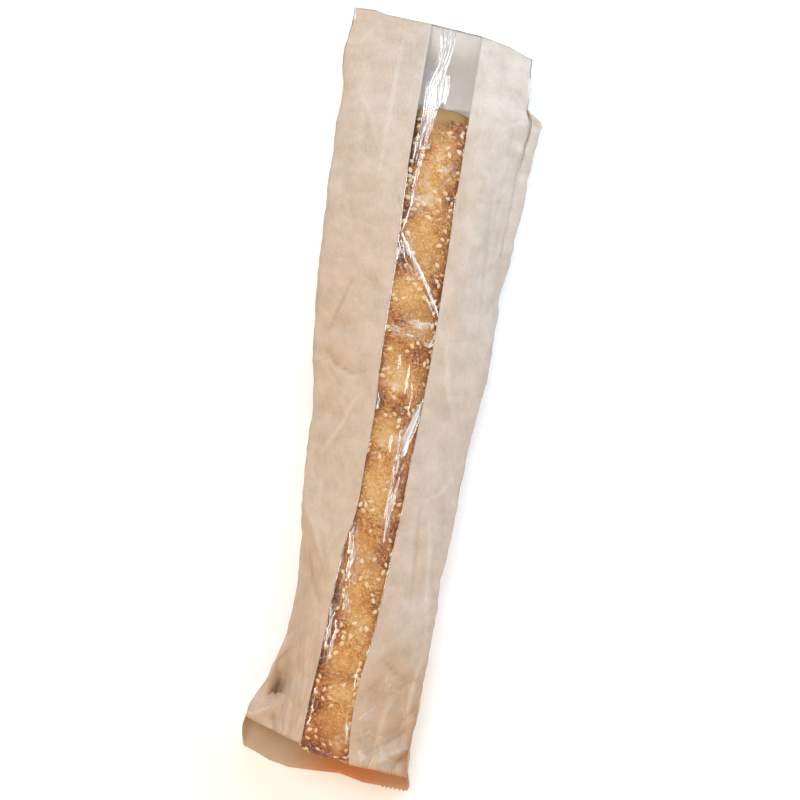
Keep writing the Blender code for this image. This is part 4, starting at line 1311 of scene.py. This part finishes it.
rough_skin = add_node(tree, "ShaderNodeBump", {"Height": relief.outputs[0],
                                               "Normal": facet_skin.outputs[0]},
                      {"Strength": GRAIN_STRENGTH, "Distance": GRAIN_DEPTH * MM})
shader = add_node(tree, "ShaderNodeBsdfPrincipled",
                  {"Base Color": shaded.outputs[MIX_OUT], "Normal": rough_skin.outputs[0]},
                  {"Roughness": PAPER_ROUGHNESS, "IOR": 1.5, "Specular IOR Level": 0.25})
add_node(tree, "ShaderNodeOutputMaterial", {"Surface": shader.outputs[0]})
bag.data.materials.append(kraft)
flap.data.materials.append(kraft)
print("kraft nodes:", len(tree.nodes))

# %% [markdown]
# The inner face is left unglazed: paler and quite dull. At the mouth it is painted a little darker
# as painted shade, and painted orange-brown as warm light bounced off the crust together with
# painted shade.

# %% Inner face material
INNER_CLOUD_SIZE = 10.0
INNER_ROUGHNESS = 0.85

inner, tree = new_material("unglazed_kraft_inside")
place = add_node(tree, "ShaderNodeAttribute", attribute_name="flat_place")
warm_bounce_map = add_node(tree, "ShaderNodeAttribute", attribute_name="warm_bounce_and_shade")
cloudy = add_node(tree, "ShaderNodeTexNoise", {"Vector": place.outputs["Vector"]},
                  {"Scale": 1.0 / INNER_CLOUD_SIZE, "Detail": 4.0, "Roughness": 0.6},
                  noise_dimensions="2D")
tone = add_node(tree, "ShaderNodeValToRGB", {"Fac": cloudy.outputs["Fac"]},
                stops=[(0.30, paint("#D9CABA")), (0.70, paint("#E4D8CB"))])
loose = add_node(tree, "ShaderNodeAttribute", attribute_name="loose")
# painted shade inside the mouth
by_mouth = add_node(tree, "ShaderNodeMapRange", {"Value": loose.outputs["Fac"]},
                    {"From Min": 0.5})
mouth_shade_painted = add_node(tree, "ShaderNodeMix", {"Factor": by_mouth.outputs[0],
                                          MIX_A: tone.outputs["Color"]},
                  {MIX_B: paint("#E0DEDC")}, data_type="RGBA", blend_type="MULTIPLY")
# painted warm light bounced off the crust, with painted shade
warm_bounce_painted = add_node(tree, "ShaderNodeMix", {"Factor": warm_bounce_map.outputs["Fac"],
                                         MIX_A: mouth_shade_painted.outputs[MIX_OUT]},
                 {MIX_B: paint("#DA9870")}, data_type="RGBA")
shader = add_node(tree, "ShaderNodeBsdfPrincipled", {"Base Color": warm_bounce_painted.outputs[MIX_OUT]},
                  {"Roughness": INNER_ROUGHNESS, "IOR": 1.5, "Specular IOR Level": 0.1})
add_node(tree, "ShaderNodeOutputMaterial", {"Surface": shader.outputs[0]})
bag.data.materials.append(inner)
print("inner face nodes:", len(tree.nodes))

# %% [markdown]
# ### Clear polypropylene film
# Drawn polypropylene: glass-clear, glossy on both sides, refractive index 1.5, so that each
# face mirrors 4% head on and far more at a slant. A faint haze of starch and scuffs greys what
# is behind it, and white lines along its creases and wrinkle crests are painted highlights. A
# refracting shader would throw a dark shadow on the crust, so it is a mix instead: a transparent
# shader lets the crust show, a white matt one draws the haze and the painted highlights, and a
# glossy one mirrors, with a share that grows at a slant.

# %% Painted highlights on the film's creases
LINE_SPACING, LINE_LENGTH = 1.0, 10.0            # of the fine lines in a gathered bundle
FILM_HAZE = 0.006
FILM_HIGHLIGHT_PAINT = 0.60                # how white the painted highlight on a sharp crease is
CREST_HIGHLIGHT_PAINT = 0.45               # how much of that painted highlight a wrinkle's crest gets

clear, tree = new_material("clear_polypropylene_film")
place = add_node(tree, "ShaderNodeAttribute", attribute_name="gather_place")
gathered = add_node(tree, "ShaderNodeAttribute", attribute_name="gather")
crests = add_node(tree, "ShaderNodeAttribute", attribute_name="crest")
along_bundle = add_node(tree, "ShaderNodeMapping", {"Vector": place.outputs["Vector"]},
                        {"Scale": (1.0 / LINE_SPACING, 1.0 / LINE_LENGTH, 1.0)})
pleats = add_node(tree, "ShaderNodeTexNoise", {"Vector": along_bundle.outputs[0]},
                  {"Scale": 1.0, "Detail": 1.0, "Distortion": 0.5}, noise_dimensions="2D")
painted_crease_lines = add_node(tree, "ShaderNodeMapRange", {"Value": pleats.outputs["Fac"]},
                   {"From Min": 0.57, "From Max": 0.64})
in_bundles = add_node(tree, "ShaderNodeMath", {0: painted_crease_lines.outputs[0], 1: gathered.outputs["Fac"]},
                      operation="MULTIPLY")
painted_highlight = add_node(tree, "ShaderNodeMath", {0: crests.outputs["Fac"], 2: in_bundles.outputs[0]},
                    {1: CREST_HIGHLIGHT_PAINT}, operation="MULTIPLY_ADD")
# the haze plus the painted highlights of creases and crests
haze_and_painted_highlight = add_node(tree, "ShaderNodeMath", {0: painted_highlight.outputs[0]},
                 {1: FILM_HIGHLIGHT_PAINT, 2: FILM_HAZE}, operation="MULTIPLY_ADD")
print("nodes for the creases:", len(tree.nodes))

# %% Film shader
FILM_HEAD_ON = 0.04
SLANT_POWER = 5.0                    # how fast the mirrored share grows at a slant
FILM_ROUGHNESS = 0.07

slant = add_node(tree, "ShaderNodeLayerWeight", values={"Blend": 0.5})
steep = add_node(tree, "ShaderNodeMath", {0: slant.outputs["Facing"]}, {1: SLANT_POWER},
                 operation="POWER")
mirror = add_node(tree, "ShaderNodeMath", {0: steep.outputs[0]},
                  {1: 1.0 - FILM_HEAD_ON, 2: FILM_HEAD_ON}, operation="MULTIPLY_ADD")
see_through = add_node(tree, "ShaderNodeBsdfTransparent", values={"Color": paint("#FEFEFE")})
haze_and_highlight_white = add_node(tree, "ShaderNodeBsdfDiffuse", values={"Color": paint("#F2F0EE")})
body = add_node(tree, "ShaderNodeMixShader", {0: haze_and_painted_highlight.outputs[0], 1: see_through.outputs[0],
                                              2: haze_and_highlight_white.outputs[0]})
gloss = add_node(tree, "ShaderNodeBsdfAnisotropic", values={"Color": paint("#FFFFFF"),
                                                            "Roughness": FILM_ROUGHNESS})
surface = add_node(tree, "ShaderNodeMixShader", {0: mirror.outputs[0], 1: body.outputs[0],
                                                 2: gloss.outputs[0]})
add_node(tree, "ShaderNodeOutputMaterial", {"Surface": surface.outputs[0]})
window.data.materials.append(clear)
print("film nodes:", len(tree.nodes))

# %% [markdown]
# ### Baked crust
# A crust is dried, browned dough: dull, rough at the scale of a millimetre, and coloured by how
# hot each spot grew, from straw in the cuts through gold to red-brown on the ridges. The map
# called bake picks the colour from a ramp, and two noises, one millimetre and four across, make
# it uneven. Inside a cut the torn crumb shows as short pale strands.

# %% Colour of the baked crust
SPECKLE_SIZE, PATCH_SIZE = 1.22, 4.17            # real specks are finer, and wouldn't show
SPECKLE_SHARE, PATCH_SHARE = 1.60, 0.80          # how much each noise changes the baking
EVEN_BAKE = 1.18                     # what the noises add on average, taken off again
STRAND_SIZE = (1.11, 3.85, 2.0)      # across, along and up
STRAND_TURN = -30.0                  # degrees, as the cuts lie
CUT_SHOW = 0.45                      # how far a cut's colour differs from the skin's

baked, tree = new_material("baked_crust")
bake_map = add_node(tree, "ShaderNodeAttribute", attribute_name="bake")
cut_map = add_node(tree, "ShaderNodeAttribute", attribute_name="open_cut")
spot = add_node(tree, "ShaderNodeTexCoord")
speckle = add_node(tree, "ShaderNodeTexNoise", {"Vector": spot.outputs["Object"]},
                   {"Scale": 1.0 / (SPECKLE_SIZE * MM), "Detail": 2.0, "Roughness": 0.7})
patches = add_node(tree, "ShaderNodeTexNoise", {"Vector": spot.outputs["Object"]},
                   {"Scale": 1.0 / (PATCH_SIZE * MM), "Detail": 3.0, "Roughness": 0.65})
patchy = add_node(tree, "ShaderNodeMath", {0: patches.outputs["Fac"], 2: bake_map.outputs["Fac"]},
                  {1: PATCH_SHARE}, operation="MULTIPLY_ADD")
speckled = add_node(tree, "ShaderNodeMath", {0: speckle.outputs["Fac"], 2: patchy.outputs[0]},
                    {1: SPECKLE_SHARE}, operation="MULTIPLY_ADD")
level = add_node(tree, "ShaderNodeMath", {0: speckled.outputs[0]}, {1: EVEN_BAKE},
                 operation="SUBTRACT")
tone = add_node(tree, "ShaderNodeValToRGB", {"Fac": level.outputs[0]}, stops=[
    (0.00, paint("#F4CE92")), (0.25, paint("#E0A75C")), (0.48, paint("#C67F3A")),
    (0.74, paint("#9A5220")), (1.00, paint("#582106"))])
stretch = add_node(tree, "ShaderNodeMapping", {"Vector": spot.outputs["Object"]},
                   {"Scale": [1.0 / (size * MM) for size in STRAND_SIZE],
                    "Rotation": (0.0, 0.0, math.radians(STRAND_TURN))})
strands = add_node(tree, "ShaderNodeTexNoise", {"Vector": stretch.outputs[0]},
                   {"Scale": 1.0, "Detail": 2.0})
pale = add_node(tree, "ShaderNodeMix", {"Factor": strands.outputs["Fac"]},
                {MIX_A: paint("#CC8A38"), MIX_B: paint("#F0C478")}, data_type="RGBA")
cut_share = add_node(tree, "ShaderNodeMath", {0: cut_map.outputs["Fac"]}, {1: CUT_SHOW},
                     operation="MULTIPLY")
opened = add_node(tree, "ShaderNodeMix", {"Factor": cut_share.outputs[0],
                                          MIX_A: tone.outputs["Color"],
                                          MIX_B: pale.outputs[MIX_OUT]}, data_type="RGBA")
print("nodes for the baked colour:", len(tree.nodes))

# %% [markdown]
# Grains one to three millimetres across speckle the crust: pale bran and burst bubbles, and
# burnt flour, which is darkest where the crust baked hardest. Over them lie the paler tan cap at
# the sealed end and the flour that stayed on.

# %% Grit, burnt flecks, cap and flour
GRIT_SIZE, BURNT_SIZE = 1.786, 2.63

cap_map = add_node(tree, "ShaderNodeAttribute", attribute_name="cap")
flour_map = add_node(tree, "ShaderNodeAttribute", attribute_name="flour")
grit = add_node(tree, "ShaderNodeTexNoise", {"Vector": spot.outputs["Object"]},
                {"Scale": 1.0 / (GRIT_SIZE * MM), "Detail": 2.0, "Roughness": 0.8,
                 "Distortion": 0.6})
burnt = add_node(tree, "ShaderNodeTexNoise", {"Vector": spot.outputs["Object"]},
                 {"Scale": 1.0 / (BURNT_SIZE * MM), "Detail": 3.0, "Roughness": 0.75,
                  "Distortion": 1.2})
is_grit = add_node(tree, "ShaderNodeMapRange", {"Value": grit.outputs["Fac"]},
                   {"From Min": 0.57, "From Max": 0.70, "To Max": 0.90})
gritty = add_node(tree, "ShaderNodeMix", {"Factor": is_grit.outputs[0],
                                          MIX_A: opened.outputs[MIX_OUT]},
                  {MIX_B: paint("#FBDFB4")}, data_type="RGBA")
is_burnt = add_node(tree, "ShaderNodeMapRange", {"Value": burnt.outputs["Fac"]},
                    {"From Min": 0.58, "From Max": 0.72})
burnt_share = add_node(tree, "ShaderNodeMath",
                       {0: is_burnt.outputs[0], 1: bake_map.outputs["Fac"]},
                       operation="MULTIPLY")
flecked = add_node(tree, "ShaderNodeMix", {"Factor": burnt_share.outputs[0],
                                           MIX_A: gritty.outputs[MIX_OUT]},
                   {MIX_B: paint("#6E2F0C")}, data_type="RGBA")
capped = add_node(tree, "ShaderNodeMix", {"Factor": cap_map.outputs["Fac"],
                                          MIX_A: flecked.outputs[MIX_OUT]},
                  {MIX_B: paint("#BC8C52")}, data_type="RGBA")
grains = add_node(tree, "ShaderNodeMapRange", {"Value": speckle.outputs["Fac"]},
                  {"From Min": 0.42, "From Max": 0.60, "To Min": 0.15, "To Max": 0.95})
dusting = add_node(tree, "ShaderNodeMath", {0: flour_map.outputs["Fac"],
                                            1: grains.outputs[0]}, operation="MULTIPLY")
floured = add_node(tree, "ShaderNodeMix", {"Factor": dusting.outputs[0],
                                           MIX_A: capped.outputs[MIX_OUT]},
                   {MIX_B: paint("#F3E4D4")}, data_type="RGBA")
print("nodes for the whole colour:", len(tree.nodes))

# %% Relief and shader of the crust
CRUST_ROUGHNESS = 0.55
PIT_DEPTH = 1.0

pits = add_node(tree, "ShaderNodeMath", {0: speckle.outputs["Fac"], 1: patches.outputs["Fac"]},
                operation="ADD")
rough_skin = add_node(tree, "ShaderNodeBump", {"Height": pits.outputs[0]},
                      {"Strength": 1.0, "Distance": PIT_DEPTH * MM})
shader = add_node(tree, "ShaderNodeBsdfPrincipled",
                  {"Base Color": floured.outputs[MIX_OUT], "Normal": rough_skin.outputs[0]},
                  {"Roughness": CRUST_ROUGHNESS, "IOR": 1.45, "Specular IOR Level": 0.2})
add_node(tree, "ShaderNodeOutputMaterial", {"Surface": shader.outputs[0]})
loaf.data.materials.append(baked)
print("crust nodes:", len(tree.nodes))

# %% [markdown]
# ### Sesame hulls
# Hulled sesame, lightly toasted: cream to pale tan, with a slight oily sheen.

# %% Seed material
MOTTLE_SIZE = 1.11
SEED_ROUGHNESS = 0.42

hull, tree = new_material("toasted_sesame")
toast = add_node(tree, "ShaderNodeAttribute", attribute_name="toast")
shade = add_node(tree, "ShaderNodeValToRGB", {"Fac": toast.outputs["Fac"]}, stops=[
    (0.0, paint("#FFF4DA")), (0.6, paint("#FBE4B8")), (1.0, paint("#E8C083"))])
spot = add_node(tree, "ShaderNodeTexCoord")
mottle = add_node(tree, "ShaderNodeTexNoise", {"Vector": spot.outputs["Object"]},
                  {"Scale": 1.0 / (MOTTLE_SIZE * MM), "Detail": 2.0})
dimpled = add_node(tree, "ShaderNodeMix", {"Factor": mottle.outputs["Fac"],
                                           MIX_A: shade.outputs["Color"]},
                   {MIX_B: paint("#F0D09A")}, data_type="RGBA")
shader = add_node(tree, "ShaderNodeBsdfPrincipled", {"Base Color": dimpled.outputs[MIX_OUT]},
                  {"Roughness": SEED_ROUGHNESS, "IOR": 1.47})
add_node(tree, "ShaderNodeOutputMaterial", {"Surface": shader.outputs[0]})
seeds.data.materials.append(hull)
print("seed nodes:", len(tree.nodes))

# %% [markdown]
# ## Join the pieces to the frame
# Every piece rides on the frame's one body. The bag, the film and the loaf each stand in for
# their CAD solid. The seeds and the flap are extras that the CAD model doesn't have.

# %% Ride and replace
DRESSED = [(bag, "paper_bag", "kraft_paper"), (window, "film_window", "clear_film"),
           (loaf, "baguette", "golden_crust")]
ADDED = [(seeds, "golden_crust"), (flap, "kraft_paper")]

for piece, node, slot in DRESSED:
    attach(piece, "root")
    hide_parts(node)
for piece, slot in ADDED:
    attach(piece, "root")
print("pieces on the body:", len(DRESSED) + len(ADDED))

# %% [markdown]
# ## Table, light and camera
# The table is a plain white board with a faint glow of its own, as a light table has, so that
# its white stays even. Two kinds of softbox stand round it. The first kind lights matt surfaces:
# cool from beyond the sealed end and from the right, warm from the mouth side, and plain from
# above. The second kind shows only in glossy surfaces, to draw the bright lines in the film. The
# camera looks almost straight down, turned so that the bag leans to the right.

# %% Table
TABLE_HALF = 3.0                     # half its side, in metres
TABLE_GAP = 0.3                      # under the bag, in millimetres
TABLE_GLOW = 0.20
TABLE_CLOUD_SIZE = 125.0             # of its faint unevenness

corners = np.array([[-1, -1, 0], [1, -1, 0], [1, 1, 0], [-1, 1, 0]]) * TABLE_HALF
corners[:, 2] = cad_low.z - TABLE_GAP * MM
table = make_piece("table", corners, [[0, 1, 2, 3]])
white, tree = new_material("matt_white_board")
spot = add_node(tree, "ShaderNodeTexCoord")
soft = add_node(tree, "ShaderNodeTexNoise", {"Vector": spot.outputs["Object"]},
                {"Scale": 1.0 / (TABLE_CLOUD_SIZE * MM), "Detail": 2.0})
tone = add_node(tree, "ShaderNodeMix", {"Factor": soft.outputs["Fac"]},
                {MIX_A: paint("#F8F8F8"), MIX_B: paint("#FCFCFC")}, data_type="RGBA")
shader = add_node(tree, "ShaderNodeBsdfPrincipled", {"Base Color": tone.outputs[MIX_OUT]},
                  {"Roughness": 0.9, "Specular IOR Level": 0.1,
                   "Emission Color": paint("#E6F2FF"), "Emission Strength": TABLE_GLOW})
add_node(tree, "ShaderNodeOutputMaterial", {"Surface": shader.outputs[0]})
table.data.materials.append(white)
table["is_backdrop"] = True
print("table side in metres:", 2 * TABLE_HALF)

# %% Lights
ROOM_LIGHT = 0.12                    # weak light from everywhere
SHINE, FILL = "shine", "fill"        # seen only by gloss, or only by matt surfaces
LIGHTS = [                           # name, place from the bag's middle, size, watts, colour, use
    ("cool_window", (0.12, 0.72, 0.50), (0.70, 0.50), 5.2, "#CEE7FF", FILL),
    ("cool_side", (0.85, 0.34, 0.38), (0.50, 0.50), 4.0, "#A2D4FF", FILL),
    ("warm_fill", (0.30, -0.95, 0.80), (0.90, 0.60), 7.2, "#FFD598", FILL),
    ("warm_side", (-0.60, -0.80, 0.40), (0.70, 0.50), 2.8, "#FFD9A8", FILL),
    ("sky_panel", (-0.35, 0.30, 1.20), (0.70, 0.70), 8.5, "#FFFDF9", FILL),
    ("far_glow", (0.10, 0.90, 0.31), (2.20, 0.30), 5.2, "#FFFFFF", SHINE),
    ("near_glint", (0.00, -1.00, 0.35), (1.60, 0.16), 12.0, "#FFFFFF", SHINE),
    ("far_left_glint", (-0.75, 0.85, 0.26), (0.60, 0.30), 10.0, "#FFFFFF", SHINE),
    ("far_right_glint", (0.75, 0.85, 0.26), (0.60, 0.30), 10.0, "#FFFFFF", SHINE),
    ("left_glint", (-1.00, 0.35, 0.60), (1.80, 0.45), 34.0, "#FFFFFF", SHINE),
    ("right_glint", (1.00, 0.25, 0.60), (1.60, 0.40), 20.0, "#F4F8FF", SHINE),
]
middle = (cad_low + cad_high) / 2
for name, place, size, watts, colour, use in LIGHTS:
    lamp = bpy.data.lights.new(name, "AREA")
    lamp.shape = "RECTANGLE"
    lamp.size, lamp.size_y = size
    lamp.energy = watts
    lamp.color = paint(colour)[:3]
    holder = bpy.data.objects.new(name, lamp)
    holder.location = middle + Vector(place)
    holder.rotation_mode = "QUATERNION"
    holder.rotation_quaternion = (middle - holder.location).to_track_quat("-Z", "Y")
    holder.visible_diffuse, holder.visible_glossy = use == FILL, use == SHINE
    bpy.context.scene.collection.objects.link(holder)

world = bpy.data.worlds.new("plain_room")
world.use_nodes = True
world.node_tree.nodes["Background"].inputs["Color"].default_value = paint("#FFFCF7")
world.node_tree.nodes["Background"].inputs["Strength"].default_value = ROOM_LIGHT
bpy.context.scene.world = world
bpy.context.scene.view_settings.view_transform = "Standard"
print("lamps:", len(LIGHTS))

# %% Camera
CAMERA_LEAN = math.radians(9.3)
CAMERA_TILT = math.radians(4.0)
CAMERA_DISTANCE = 1.375              # in metres
CAMERA_LENS, SENSOR_WIDTH = 97.9, 36.0
AIM_FROM_MIDDLE = (4.2, -1.0, -2.0)  # in millimetres

aim = middle + Vector(AIM_FROM_MIDDLE) * MM
toward = Vector((0.0, -math.sin(CAMERA_TILT), math.cos(CAMERA_TILT)))
upward = Vector((-math.sin(CAMERA_LEAN), math.cos(CAMERA_LEAN), 0.0))
upward = (upward - toward * upward.dot(toward)).normalized()
lens = bpy.data.cameras.new("camera")
lens.lens = CAMERA_LENS
lens.sensor_width = SENSOR_WIDTH
lens.clip_start, lens.clip_end = 0.01, 20.0
camera = bpy.data.objects.new("camera", lens)
camera.matrix_world = Matrix.Translation(aim + toward * CAMERA_DISTANCE) @ Matrix(
    (upward.cross(toward), upward, toward)).transposed().to_4x4()
bpy.context.scene.collection.objects.link(camera)
bpy.context.scene.camera = camera
print("camera height in metres:", round(camera.matrix_world.translation.z, 3))

# %% [markdown]
# ## The dressed model's size
# The visual box is printed, to set beside the CAD box printed at the start.

# %% Print the visual box
low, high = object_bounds()
print("visual box in mm:", [round((b - a) * 1000, 1) for a, b in zip(low, high)])
